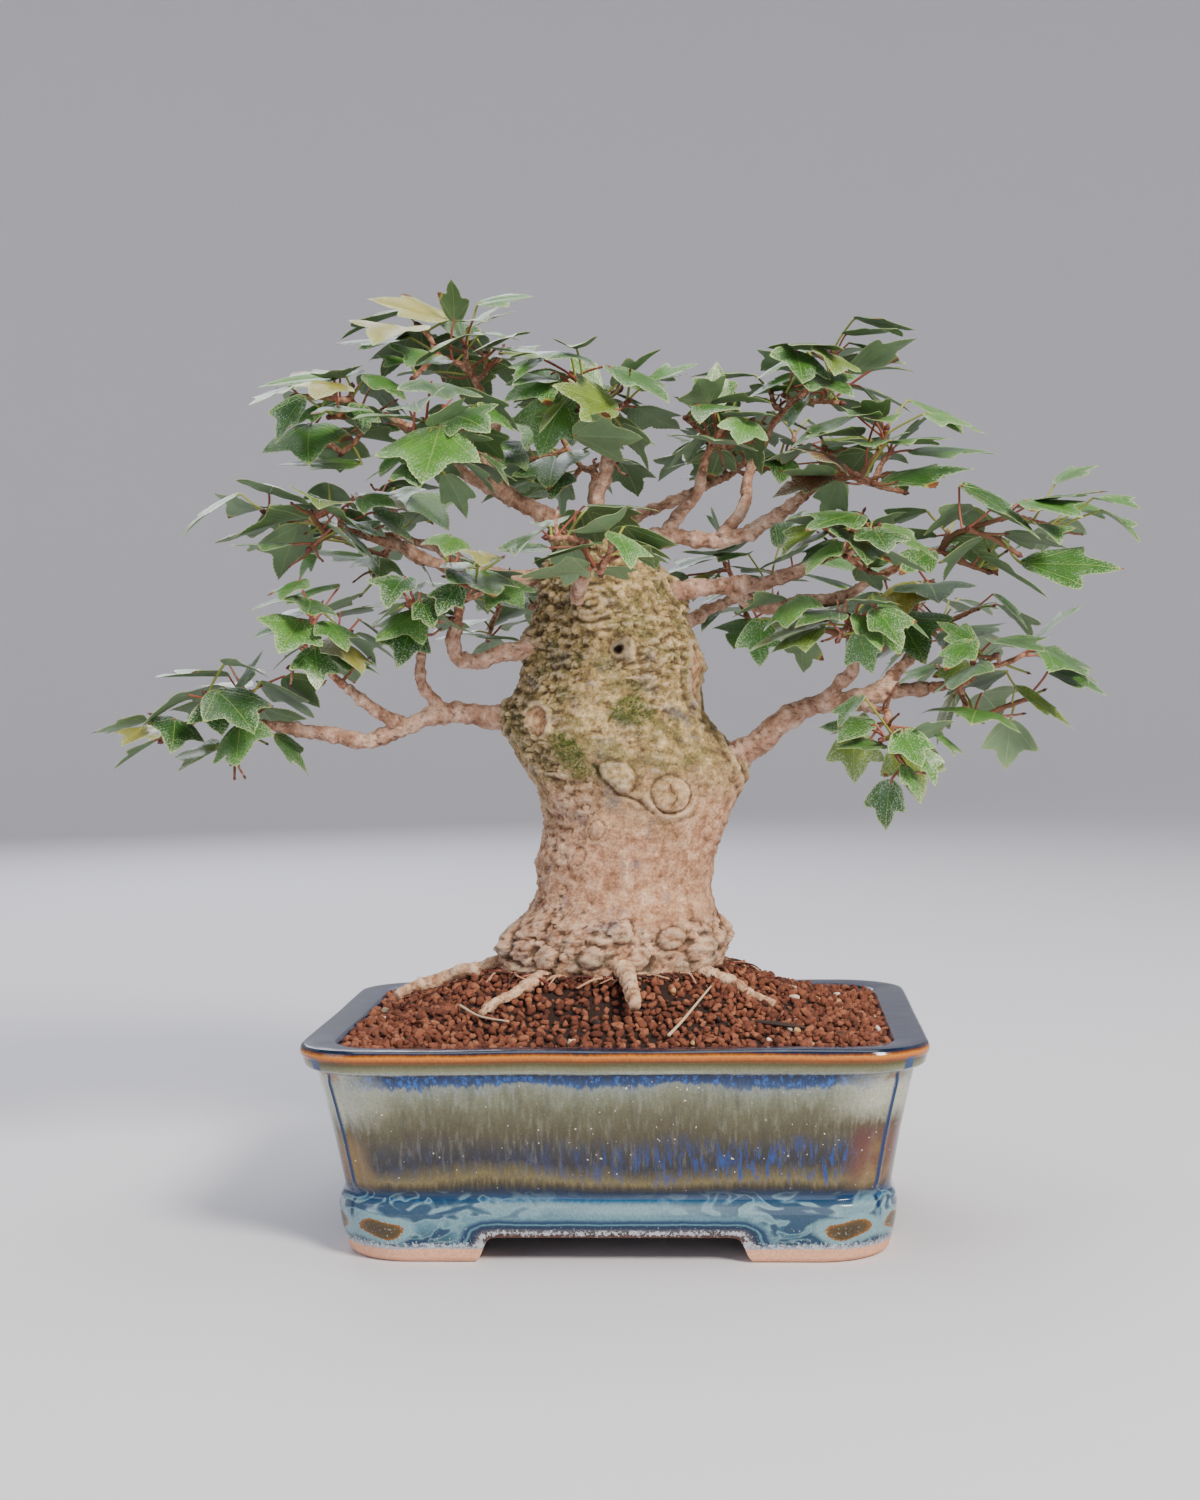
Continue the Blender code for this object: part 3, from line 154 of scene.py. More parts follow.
# Folds that stand out: (angle, height) at each end, spread, bulge
TRUNK_FOLDS = (
    ((268, 146), (300, 137), 5, 1), ((200, 101), (340, 100), 5.5, 0.9),
    ((214, 186), (196, 166), 5, 0.9), ((330, 172), (342, 146), 6, 0.9),
    ((225, 213), (300, 210), 5, 0.9), ((206, 156), (222, 142), 4.5, 0.9),
    ((300, 173), (318, 163), 5, 0.8), ((60, 184), (105, 190), 5.5, 1),
    ((128, 128), (150, 150), 5.5, 1), ((65, 106), (112, 108), 5.5, 0.9),
    ((20, 176), (45, 160), 5.5, 0.9), ((170, 120), (186, 140), 5, 0.8),
)
BURRS_ROUND_FOOT = 9
# Old pruning marks in the bark: (angle from +X, height, radius), and how much wider than high
# a pale wound is
HEALED_SCARS = ((291, 145, 6.6), (60, 140, 6.5), (110, 172, 5.5))
SMOOTH_SCARS = ((248, 133, 3.4), (240, 124, 3), (95, 120, 4), (30, 200, 3.6))
PALE_WOUNDS = ((230, 170, 3.4, 1.5), (338, 185, 4.6, 2.2))
HOLLOW_KNOT = (282, 193, 3.3)
BURR_KNOB = (264, 151, 4.3)
CREVICE = ((254, 155), (256.5, 150), (261, 146), (268, 144), (275, 141.5), (281, 138.5))
FOOT_KNOBS = (
    (322, 90.5, 6.6), (204, 93.5, 6.8), (262, 91, 4.6), (286, 90, 4.2),
    (238, 90, 5), (303, 96, 3.8), (345, 95, 5), (222, 99, 3.6),
    (180, 92, 5.4), (150, 91, 5.8), (120, 94, 5), (88, 91, 6),
    (58, 93, 5), (28, 91, 5.6), (5, 97, 4.2), (275, 99, 3.4),
)
# Moss on the bark: (angle, height, reach round, reach up)
MOSS_PATCHES = ((247, 158, 7.5, 9), (285, 172, 9, 5.5), (120, 150, 10, 8))

# Surface roots: (name, thickness at the trunk, thickness at the tip, points across the soil)
ROOTS = (
    ("front", 6.2, 3.4, ((1, -16), (4, -30), (6, -40), (7, -48))),
    ("front_left", 4, 2.4, ((-20, -10), (-30, -24), (-38, -30), (-44, -38))),
    ("left", 5, 3, ((-36, 8), (-50, 2), (-64, 4), (-77, -4))),
    ("right", 4.2, 2.4, ((24, -8), (38, -14), (46, -22), (52, -24))),
    ("back", 5.6, 3, ((8, 34), (14, 48), (22, 58), (26, 64))),
)
ROOT_SUNK = 0.35
ROOT_BARK = 1.12  # how much thicker its bark makes a root
ROOTLETS = 300
ROOT_RISE_AT_TRUNK = 3.0

# Boughs: name, the limb it leaves, thickness there and at its tip, then its route
BOUGHS = (
    ("left_low", "trunk", 8.6, 4.2,
     ((-26, 10, 173), (-46, 8, 171), (-60, 4, 173), (-70, 0, 169), (-83, -4, 164), (-95, -6, 165),
      (-108, -8, 168), (-116, -8, 169))),
    ("left_low_fork", "left_low", 5, 3.4,
     ((-73, -1, 168), (-80, -7, 172), (-86, -11, 178), (-91, -12, 182))),
    ("left_low_spur", "left_low", 4.6, 3.2,
     ((-60, 4, 173), (-64, 0, 179), (-67, -4, 183), (-66, -6, 193))),
    ("left_mid", "trunk", 6.6, 4.6,
     ((-22, 4, 197), (-38, -2, 193), (-50, -7, 190), (-54, -9, 194), (-53, -12, 203))),
    ("left_upper", "trunk", 6.6, 3.6,
     ((-12, 14, 220), (-30, 13, 219), (-44, 10, 219), (-56, 4, 222), (-68, -2, 227),
      (-78, -6, 231))),
    ("left_back", "left_upper", 4.6, 3.4,
     ((-40, 11, 219), (-50, 24, 222), (-62, 36, 229), (-72, 44, 233))),
    ("top_left", "trunk", 7, 3.4,
     ((-12, 12, 230), (-24, 10, 240), (-36, 8, 246), (-50, 5, 254), (-61, 2, 264), (-72, 0, 271))),
    ("top_left_spur", "top_left", 4.4, 3.2,
     ((-36, 8, 246), (-41, 0, 251), (-44, -6, 258), (-46, -9, 264))),
    ("top", "top_left", 5, 3.2,
     ((-36, 8, 246), (-42, 12, 258), (-42, 12, 270), (-46, 11, 282))),
    ("centre", "trunk", 5.6, 3.6,
     ((-8, 14, 232), (-6, 13, 246), (-3, 12, 256), (-4, 9, 266))),
    ("right_upper", "trunk", 6.6, 4,
     ((4, 10, 228), (18, 6, 232), (30, 3, 230), (42, 1, 231), (54, -2, 237), (64, -5, 244))),
    ("right_upper_spur", "right_upper", 4.8, 3.4,
     ((17, 6, 232), (22, 9, 240), (28, 8, 246), (30, 7, 254))),
    ("right_top", "right_upper", 4.4, 3.2,
     ((36, 2, 230), (44, 8, 242), (46, 13, 254), (52, 16, 266))),
    ("right_mid", "trunk", 7.4, 4.2,
     ((8, 8, 212), (26, 6, 214), (40, 3, 215), (54, -2, 216), (66, -6, 221))),
    ("right_mid_low", "right_mid", 5, 3.4,
     ((38, 3, 215), (48, 6, 208), (62, 6, 208), (78, 5, 211), (90, 3, 217))),
    ("right_low", "trunk", 10.4, 4.4,
     ((28, 8, 152), (42, 7, 157), (55, 4, 167), (66, 2, 173), (80, 0, 175), (94, -2, 178),
      (105, -4, 179))),
    ("right_low_rise", "right_low", 4.8, 3.4,
     ((69, 2, 174), (75, -4, 180), (80, -8, 186), (80, -10, 190))),
    ("right_low_back", "right_low", 5, 3.4,
     ((84, 0, 176), (92, 12, 181), (98, 24, 186), (104, 32, 192))),
    ("right_low_front", "right_low", 4.2, 3,
     ((76, 1, 174.5), (80, -8, 174), (84, -14, 173), (87, -18, 172))),
    ("front", "trunk", 6, 4,
     ((-10, 0, 207), (-12, -12, 211), (-9, -22, 219), (-9, -28, 224))),
    ("back_left", "trunk", 6.6, 3.8,
     ((-12, 26, 190), (-20, 44, 194), (-26, 56, 200), (-30, 66, 206))),
    ("back_right", "trunk", 6.6, 3.8,
     ((10, 24, 196), (20, 42, 201), (30, 54, 207), (40, 62, 212))),
    ("back_top", "trunk", 6, 3.6,
     ((-6, 16, 224), (-6, 30, 233), (-10, 42, 244), (-10, 50, 254))),
    ("back_right_top", "back_top", 4.4, 3.2,
     ((-6, 31, 234), (8, 40, 242), (22, 46, 248), (34, 50, 254))),
)
LIMB_STEP = 6.5
LIMB_WANDER = 0.5
BARK_SWELL = 0.12

# Masses: name, the bough that carries it, middle, reach each way, shoots, leaves, seed
MASSES = (
    ("left_low", "left_low", (-137, -8, 176), (34, 30, 28), 5, 12, 11),
    ("left_low_mid", "left_low_fork", (-99, -14, 198), (25, 30, 20), 4, 10, 12),
    ("left_low_inner", "left_low_spur", (-66, -24, 207), (20, 26, 16), 3, 7, 13),
    ("left_mid", "left_mid", (-46, -30, 216), (19, 26, 16), 3, 7, 14),
    ("left_upper", "left_upper", (-104, -10, 238), (34, 30, 18), 5, 12, 15),
    ("left_back", "left_back", (-92, 56, 240), (34, 32, 26), 5, 12, 16),
    ("top_left_outer", "top_left", (-94, -6, 275), (27, 32, 24), 5, 12, 17),
    ("top_left_inner", "top_left_spur", (-56, -30, 263), (22, 30, 22), 4, 10, 18),
    ("top_left", "top", (-58, 8, 299), (32, 32, 19), 5, 12, 19),
    ("centre", "centre", (-3, -4, 279), (28, 34, 22), 5, 13, 20),
    ("right_upper", "right_upper", (88, -12, 256), (32, 30, 20), 5, 12, 21),
    ("right_upper_inner", "right_upper_spur", (36, -8, 268), (21, 32, 19), 4, 10, 22),
    ("right_top", "right_top", (70, 14, 286), (36, 32, 19), 5, 13, 23),
    ("right_mid", "right_mid", (82, -26, 226), (23, 27, 18), 4, 9, 24),
    ("right_mid_outer", "right_mid_low", (128, -2, 232), (42, 32, 24), 6, 14, 25),
    ("right_low", "right_low", (128, -6, 183), (30, 30, 26), 5, 11, 26),
    ("right_low_inner", "right_low_rise", (74, -14, 199), (28, 26, 15), 4, 8, 27),
    ("right_low_back", "right_low_back", (114, 54, 204), (34, 32, 26), 5, 12, 28),
    ("right_low_front", "right_low_front", (92, -26, 160), (20, 18, 22), 2, 5, 29),
    ("front", "front", (-6, -50, 228), (23, 28, 17), 3, 7, 30),
    ("back_left", "back_left", (-42, 90, 212), (38, 32, 24), 5, 13, 41),
    ("back_right", "back_right", (52, 86, 218), (38, 34, 26), 5, 13, 32),
    ("back_top", "back_top", (-22, 70, 264), (38, 32, 24), 5, 13, 33),
    ("back_right_top", "back_right_top", (50, 62, 266), (38, 32, 22), 5, 13, 34),
)

# Leaves that stand out of the crown: mass, foot of the blade, its tip, width for its length,
# and the way its upper side faces
OUTER_LEAVES = (
    ("left_low", (-130, -12, 165), (-166, -20, 141), 0.42, (0.2, -0.7, 0.6)),
    ("top_left", (-57, 10, 308), (-84, 4, 316), 0.75, (0.1, -0.5, 0.9)),
    ("top_left", (-50, 4, 304), (-33, -4, 309), 0.45, (0.1, -0.4, 0.9)),
    ("top_left", (-75, -4, 289), (-79, -28, 293), 1.2, (0, 0.3, 1)),
    ("top_left_outer", (-90, -8, 287), (-119, -14, 285), 0.7, (0, -0.3, 1)),
    ("top_left_outer", (-94, 0, 280), (-112, -6, 271), 0.6, (-0.3, -0.6, 0.7)),
    ("top_left_outer", (-86, -2, 258), (-114, -8, 259), 0.6, (0, -0.4, 0.9)),
    ("left_upper", (-96, -10, 243), (-134, -16, 234), 0.5, (0, -0.5, 0.9)),
    ("top_left_inner", (-54, -40, 266), (-56, -60, 247), 1.1, (0, -0.7, 0.7)),
    ("left_low_mid", (-92, -15, 216), (-122, -20, 210), 0.6, (0, -0.3, 1)),
    ("front", (-3, -50, 231), (-6, -72, 216), 1.15, (0, -0.6, 0.8)),
    ("left_mid", (-46, -30, 208), (-66, -48, 199), 1, (0, -0.6, 0.8)),
    ("right_top", (80, 5, 286), (102, -2, 298), 0.7, (-0.4, 0.5, 0.8)),
    ("right_top", (62, -2, 293), (64, -20, 281), 1.1, (0, 0.7, 0.7)),
    ("right_mid_outer", (136, -6, 220), (169, -12, 219), 0.6, (0, -0.6, 0.8)),
    ("right_mid_outer", (115, -14, 246), (140, -20, 231), 0.65, (0.4, -0.5, 0.8)),
    ("right_upper", (88, -26, 246), (118, -32, 252), 0.6, (0, -0.4, 0.9)),
    ("right_low", (134, -4, 179), (153, -10, 165), 0.5, (0.4, -0.5, 0.8)),
    ("right_low_front", (79, -18, 166), (79, -21, 148), 1, (0, -1, 0)),
    ("right_low_front", (97, -22, 166), (99, -25, 141), 0.75, (0, -1, 0.1)),
    ("right_low_inner", (49, -8, 203), (49, -12, 187), 1, (0, -1, 0.1)),
    ("centre", (-12, -24, 264), (12, -30, 262), 0.9, (0, 0.6, 0.8)),
    ("centre", (3, -22, 272), (-17, -34, 281), 0.9, (0, -0.7, 0.7)),
)

# Growth rule, for a blade of length 1
LOBE_ALONG = 0.53
NOTCH_ALONG = 0.61
NOTCH_ACROSS = 0.23
BASE_ACROSS = 0.03
LEAF_LENGTHS = (17, 32, 26)  # least, most, usual
LEAF_WIDTHS = (0.85, 1.1)
STALK_LENGTHS = (4, 15)
GAP = 0.3
TWIG_RADIUS = 0.9
TWIG_MARGIN = 1.08
BLADE_REACH = 1.3
BLADE_OVERLAP = 1.25
LIMB_CLEARANCE = 0.7
LEAF_CLEARANCE = 1.1
TRIES = 45
LEAF_JOINT_FIRST = 0.9
LEAF_JOINT_STEP = 2.1
LEAF_JOINTS = 4
SAMPLES = 5
FILL_LEAVES = 8  # smaller leaves that each mass gets beside its solid ones
FULLER_BY = 4
FULLEST = ("centre", "right_upper_inner", "top_left_inner", "right_top",
           "top_left", "right_upper")
FILL_LENGTHS = (13, 24, 18)
FILL_TRIES = 300
FINE_SHOOTS = 7  # thin side shoots in each mass
FINE_TRIES = 90
BLADE_STEP = 0.062  # spacing of points in a blade, in lengths
BLADE_THICKNESS = 0.3
TOOTH_STEP = 0.032
TOOTH_HEIGHT = 0.014
BURNT_SHARE = 0.27
LOBE_VEIN = 0.5 / 0.585  # how far across the vein to a side lobe runs for its way along
# Forms of blade: how wide the side lobes are, and how far the midrib bends
LEAF_FORMS = ((1, 0), (1.08, 0.02), (0.9, -0.025), (0.97, 0.03), (1.12, -0.01), (0.84, 0.015),
              (1.03, -0.035), (0.93, 0))
# One side of a blade's outline in three stretches: foot to lobe tip, lobe tip to notch, notch to
# the middle lobe's tip. Each row is along and across, in lengths.
LEAF_HALF = (
    ((0, 0), (-0.01, 0.05), (0.02, 0.14), (0.11, 0.26), (0.25, 0.36), (0.4, 0.435),
     (0.51, 0.48), (0.585, 0.5)),
    ((0.585, 0.5), (0.605, 0.42), (0.6, 0.33), (0.6, 0.26), (0.635, 0.215)),
    ((0.635, 0.215), (0.72, 0.195), (0.82, 0.14), (0.92, 0.06), (1, 0)),
)

# Camera: pot-centred place in metres, turn to the right, dip and roll in degrees
CAMERA_PLACE = (0.0422, -0.760, 0.1877)
CAMERA_TURN = -3.64
CAMERA_DIP = 2.14
CAMERA_ROLL = -0.84
CAMERA_LENS = 53.6

# Studio lamps: name, place in metres, size in metres, watts, colour
LAMPS = (
    ("key", (0.85, -1.1, 1.1), 0.5, 42.0, "#fff6ea"),
    ("fill", (-1.25, -0.9, 0.65), 1.1, 7.0, "#eef2ff"),
    ("top", (0.0, 0.25, 1.7), 1.2, 13.0, "#ffffff"),
    ("back", (-0.5, 1.35, 0.9), 0.9, 10.0, "#f2f4ff"),
    ("low", (0.2, -1.5, 0.25), 0.8, 3.0, "#ffffff"),
)
LAMPS_AIM = (0.0, 0.0, 0.16)
SWEEP_FLOOR = 2.0  # radius of the flat floor, then of the bend and the wall's height, in metres
SWEEP_BEND = 1.2
SWEEP_TOP = 3.0

# Settings of nodes that many patterns share
TIMES = {"operation": "MULTIPLY"}
TIMES_PLUS = {"operation": "MULTIPLY_ADD"}
OVER = {"data_type": "RGBA"}
SHADE = {"data_type": "RGBA", "blend_type": "MULTIPLY"}

LEAF_TOPS = (
    ("maple_leaf_green", "#34621f"), ("maple_leaf_mid_green", "#3f7226"),
    ("maple_leaf_deep_green", "#28521c"), ("maple_leaf_soft_green", "#4d7d30"),
    ("maple_leaf_yellow_green", "#667d26"), ("maple_leaf_yellow", "#928a34"),
    ("maple_leaf_red_brown", "#6b3b2a"),
)
LEAF_BELOW = (("maple_leaf_underside", "#4f6a3c"), ("maple_leaf_pale_underside", "#66805a"))
TOP_CHANCES = (0, 0, 0, 0, 1, 1, 1, 1, 2, 2, 2, 2, 3, 3, 4)


def linear(colour):
    """Turn an sRGB hex colour into the linear values that a shader takes."""
    parts = [int(colour[i:i + 2], 16) / 255 for i in (1, 3, 5)]
    return (*(c / 12.92 if c <= 0.04045 else ((c + 0.055) / 1.055) ** 2.4 for c in parts), 1.0)


def per_mm(size):
    """Scale of a pattern whose features are this many millimetres wide."""
    return 1.0 / (size * MM)


def add_node(tree, kind, *values, out=None, stops=None, inputs=None, **settings):
    """Add a shader node with its settings, its values or links in the order of its sockets or by
    their names, and its colour stops. Gives the output that is named, or else the first."""
    made = tree.nodes.new("ShaderNode" + kind)
    for name, value in settings.items():
        setattr(made, name, value)
    pairs = [*zip([socket for socket in made.inputs if socket.enabled], values),
             *((made.inputs[name], value) for name, value in (inputs or {}).items())]
    for socket, value in pairs:
        if isinstance(value, bpy.types.NodeSocket):
            tree.links.new(value, socket)
        else:
            socket.default_value = linear(value) if isinstance(value, str) else value
    if stops:
        ramp = made.color_ramp.elements
        while len(ramp) < len(stops):
            ramp.new(1.0)
        for element, (place, colour) in zip(ramp, stops):
            element.position = place
            element.color = linear(colour)
    return made.outputs[out] if out else next(socket for socket in made.outputs if socket.enabled)


def new_material(name, colour, roughness, **sockets):
    """A surface with plain values."""
    made = bpy.data.materials.new(name)
    made.use_nodes = True
    shader = made.node_tree.nodes["Principled BSDF"]
    for socket, value in {"Base Color": linear(colour), "Roughness": roughness, **sockets}.items():
        shader.inputs[socket].default_value = value
    return made


def link_surface(material, **sockets):
    """Link patterns to a surface's own sockets."""
    tree = material.node_tree
    for name, pattern in sockets.items():
        tree.links.new(pattern, tree.nodes["Principled BSDF"].inputs[name.replace("_", " ")])
    return material


def share_of(add, *bands):
    """How much of a layer shows. Each band is a value, where it starts, where it is full, and
    the least and the most that it lets through."""
    return reduce(lambda first, other: add("Math", first, other, **TIMES),
                  [add("MapRange", *band) for band in bands])


def paint(add, colour, *layers):
    """Colours laid over one another, each with the bands that it keeps to."""
    for tone, *bands in layers:
        colour = add("Mix", share_of(add, *bands), colour, tone, **OVER)
    return colour


def unit(vector):
    """The vector at length 1."""
    return vector / max(1e-9, np.linalg.norm(vector))


def scatter(rng, reach):
    """Three random numbers, each at most this far from 0."""
    return np.array([rng.uniform(-reach, reach) for _ in range(3)])


def any_way(rng, spread=1.0):
    """Three random numbers that crowd round 0."""
    return np.array([rng.gauss(0, spread) for _ in range(3)])


def soft(low, high, values):
    """0 below low, 1 above high and a smooth change between."""
    share = np.clip((values - low) / (high - low), 0, 1)
    return share * share * (3 - 2 * share)


def ridge(values, place, width):
    """A soft ridge of height 1 where the values come to a place."""
    return np.exp(-((values - place) / width) ** 2)


def dome(share):
    """Height of a round hump: 1 in its middle, 0 where the share is 1 or more."""
    return np.sqrt(np.clip(1 - share ** 2, 0, 1))


def lumps(points, size, shift=0.0, detail=0):
    """Noise from about -1 to 1 at each point, with lumps of a size in millimetres."""
    offset = Vector((shift, shift * 0.7, -shift))
    spots = [Vector(point) / size + offset for point in points.reshape(-1, 3).tolist()]
    found = [noise.fractal(spot, 0.6, 2.0, detail) if detail else noise.noise(spot) for spot in spots]
    return np.array(found).reshape(points.shape[:-1])


def cells(points, size, shift=0.0):
    """Distance to the nearest cell's middle, in cell sizes, and to the next nearest."""
    offset = Vector((shift, -shift, shift * 0.6))
    found = [noise.voronoi(Vector(point) / size + offset)[0][:2]
             for point in points.reshape(-1, 3).tolist()]
    found = np.array(found).reshape(*points.shape[:-1], 2)
    return found[..., 0], found[..., 1]


def crevices(relief, reach, depth):
    """How far each point lies under its surroundings, from -1 on a ridge to 1 in a crack. The bark
    materials paint shade by it in the hollows of the relief.
    """
    around = relief
    for axis in (0, 1):
        around = np.mean([np.roll(around, k, axis) for k in range(-reach, reach + 1)], axis=0)
    return np.clip((around - relief) / depth, -1, 1)


def bud_rings(rng, marks, first, apart, swell, width):
    """Swellings at old bud rings, at random steps along a limb."""
    found = np.zeros(len(marks))
    spot = rng.uniform(*first)
    while spot < marks[-1]:
        found += rng.uniform(*swell) * ridge(marks, spot, width)
        spot += rng.uniform(*apart)
    return found


def new_object(name, data):
    """An object in the scene that holds a mesh, a lamp or a camera."""
    made = bpy.data.objects.new(name, data)
    bpy.context.scene.collection.objects.link(made)
    return made


class Shapes:
    """Points and faces of many small shapes, gathered to make one mesh."""

    def __init__(self):
        self.points, self.faces, self.slots, self.values, self.count = [], [], [], {}, 0

    def put(self, points, faces, slot=0, **values):
        """Take in a shape: its points in millimetres, its faces, their slots, point values."""
        self.points.append(np.asarray(points, float).reshape(-1, 3))
        for block in faces if isinstance(faces, list) else [faces]:
            self.faces.append(np.asarray(block) + self.count)
            self.slots.append(np.broadcast_to(slot, len(block)))
        for name, value in values.items():
            self.values.setdefault(name, []).append(np.broadcast_to(value, len(self.points[-1])))
        self.count += len(self.points[-1])

    def make(self, name, materials, smooth=True, sharp_angle=None):
        """One object in metres from all that was gathered."""
        mesh = bpy.data.meshes.new(name)
        points = np.concatenate(self.points) * MM + POT_CENTRE
        mesh.vertices.add(len(points))
        mesh.vertices.foreach_set("co", points.astype(np.float32).ravel())
        corners = np.concatenate([block.ravel() for block in self.faces])
        totals = np.concatenate([np.full(len(block), block.shape[1]) for block in self.faces])
        starts = np.concatenate([[0], np.cumsum(totals)[:-1]])
        mesh.loops.add(len(corners))
        mesh.loops.foreach_set("vertex_index", corners.astype(np.int32))
        mesh.polygons.add(len(totals))
        mesh.polygons.foreach_set("loop_start", starts.astype(np.int32))
        mesh.polygons.foreach_set("material_index", np.concatenate(self.slots).astype(np.int32))
        for material in materials:
            mesh.materials.append(material)
        for value_name, values in self.values.items():
            attribute = mesh.attributes.new(value_name, "FLOAT", "POINT")
            attribute.data.foreach_set("value", np.concatenate(values).astype(np.float32))
        mesh.update(calc_edges=True)
        mesh.validate()
        if smooth:
            mesh.shade_smooth()
        if sharp_angle:
            mesh.set_sharp_from_angle(angle=math.radians(sharp_angle))
        return new_object(name, mesh)


def place_piece(piece, slot, *nodes):
    """Let a piece ride on the part and stand for its nodes. Its slot is not used."""
    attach(piece, "root")
    if nodes:
        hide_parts(*nodes)


def grid_faces(rows, columns):
    """Quads of a grid of points whose columns run round."""
    row, column = np.meshgrid(np.arange(rows - 1), np.arange(columns), indexing="ij")
    beside = (column + 1) % columns
    return np.stack([row * columns + column, row * columns + beside,
                     (row + 1) * columns + beside, (row + 1) * columns + column],
                    axis=-1).reshape(-1, 4)


def raised(outline, height):
    """The points of an outline at a height, or each at its own."""
    return np.column_stack([outline, np.broadcast_to(height, len(outline))])


def closed_rings(rings):
    """Points and faces of rings on each other, closed by a flat face at each end."""
    rings = np.array(rings)
    rows, sides = rings.shape[:2]
    end = np.arange(sides)[None]
    return rings, [grid_faces(rows, sides), end[:, ::-1], end + (rows - 1) * sides]


def fanned_rings(rings, first, last):
    """Points and faces of rings on each other, closed by a fan to a point at each end."""
    rows, sides = rings.shape[:2]
    around = np.arange(sides)
    beside = (around + 1) % sides
    end = (rows - 1) * sides
    foot = np.stack([np.full(sides, rows * sides), beside, around], axis=1)
    tip = np.stack([np.full(sides, rows * sides + 1), end + around, end + beside], axis=1)
    points = np.concatenate([rings.reshape(-1, 3), [first], [last]])
    return points, [grid_faces(rows, sides), foot, tip]


def smooth_route(points, step):
    """Points at even steps along a smooth curve through a route's own points."""
    points = [np.array(point, float) for point in points]
    padded = [2 * points[0] - points[1], *points, 2 * points[-1] - points[-2]]
    dense = []
    for a, b, c, d in zip(padded, padded[1:], padded[2:], padded[3:]):
        for t in np.linspace(0, 1, 12, endpoint=False):
            dense.append(0.5 * (2 * b + (c - a) * t + (2 * a - 5 * b + 4 * c - d) * t ** 2
                                + (3 * b - a - 3 * c + d) * t ** 3))
    dense.append(points[-1])
    lengths = np.cumsum([0.0, *(np.linalg.norm(q - p) for p, q in zip(dense, dense[1:]))])
    count = max(2, round(lengths[-1] / step)) + 1
    marks = np.linspace(0, lengths[-1], count)
    return np.array([[np.interp(mark, lengths, [p[k] for p in dense]) for k in range(3)]
                     for mark in marks])


def limb_shape(route, thick, thin, seed):
    """A limb's bends and its radius at each, with knuckles and a slight wander."""
    rng = random.Random(seed)
    spine = smooth_route(route, LIMB_STEP)
    for point in spine[1:-1]:
        point += [rng.uniform(-LIMB_WANDER, LIMB_WANDER) for _ in range(3)]
    radii = []
    for i in range(len(spine)):
        share = i / (len(spine) - 1)
        swell = 1.0 + (BARK_SWELL * rng.uniform(-1, 1) if 0 < share < 1 else 0.0)
        radii.append((thick + (thin - thick) * share ** 0.8) / 2 * swell)
    return spine, radii


def refine(spine, radii, step):
    """The same limb with its bends rounded, at much finer steps, and how far along each is."""
    fine = smooth_route(spine, step)
    marks, fine_marks = (
        np.concatenate([[0], np.cumsum(np.linalg.norm(np.diff(line, axis=0), axis=1))])
        for line in (np.asarray(spine, float), fine))
    fine_marks *= marks[-1] / fine_marks[-1]
    return fine, np.interp(fine_marks, marks, radii), fine_marks


def rings_round(spine, radii, sides):
    """Points round a curve on rings that don't twist. Radii are one per ring or one per point."""
    ways = np.gradient(spine, axis=0)
    ways /= np.linalg.norm(ways, axis=1)[:, None]
    side = unit(np.cross(ways[0], UP if abs(ways[0][2]) < 0.9 else np.array([1.0, 0.0, 0.0])))
    angles = np.linspace(0, math.tau, sides, endpoint=False)
    radii = np.broadcast_to(np.asarray(radii, float).reshape(len(spine), -1), (len(spine), sides))
    rings = []
    for place, way, radius in zip(spine, ways, radii):
        side = unit(side - way * np.dot(side, way))
        over = np.cross(way, side)
        rings.append(place + radius[:, None] * (np.cos(angles)[:, None] * side
                                                + np.sin(angles)[:, None] * over))
    return np.array(rings)


def tube(spine, radii, sides):
    """Points and faces of a closed tube."""
    return fanned_rings(rings_round(spine, radii, sides), spine[0], spine[-1])


def thin_tube(route, step, thick, thin, sides):
    """Points and faces of a plain tube along a smooth route."""
    fine = smooth_route(route, step)
    return tube(fine, np.linspace(thick, thin, len(fine)), sides)


def rounded_outline(width, depth, radius, angles=(0.0, 20.0, 40.0, 45.0, 50.0, 70.0, 90.0)):
    """Points round a rectangle with round corners."""
    outline = []
    for turn, side_x, side_y in ((0, 1, 1), (90, -1, 1), (180, -1, -1), (270, 1, -1)):
        middle_x = side_x * (width / 2 - radius)
        middle_y = side_y * (depth / 2 - radius)
        for angle in angles:
            way = math.radians(turn + angle)
            outline.append((middle_x + radius * math.cos(way), middle_y + radius * math.sin(way)))
    return outline


def make_camera():
    """The camera at the photograph's viewing angle."""
    turn, dip, roll = (math.radians(angle) for angle in (CAMERA_TURN, CAMERA_DIP, CAMERA_ROLL))
    data = bpy.data.cameras.new("camera")
    data.lens = CAMERA_LENS
    camera = new_object("camera", data)
    camera.matrix_world = (Matrix.Translation(Vector(CAMERA_PLACE) + Vector(POT_CENTRE))
                           @ Matrix.Rotation(-turn, 4, "Z")
                           @ Matrix.Rotation(math.pi / 2 - dip, 4, "X")
                           @ Matrix.Rotation(roll, 4, "Z"))
    bpy.context.scene.camera = camera


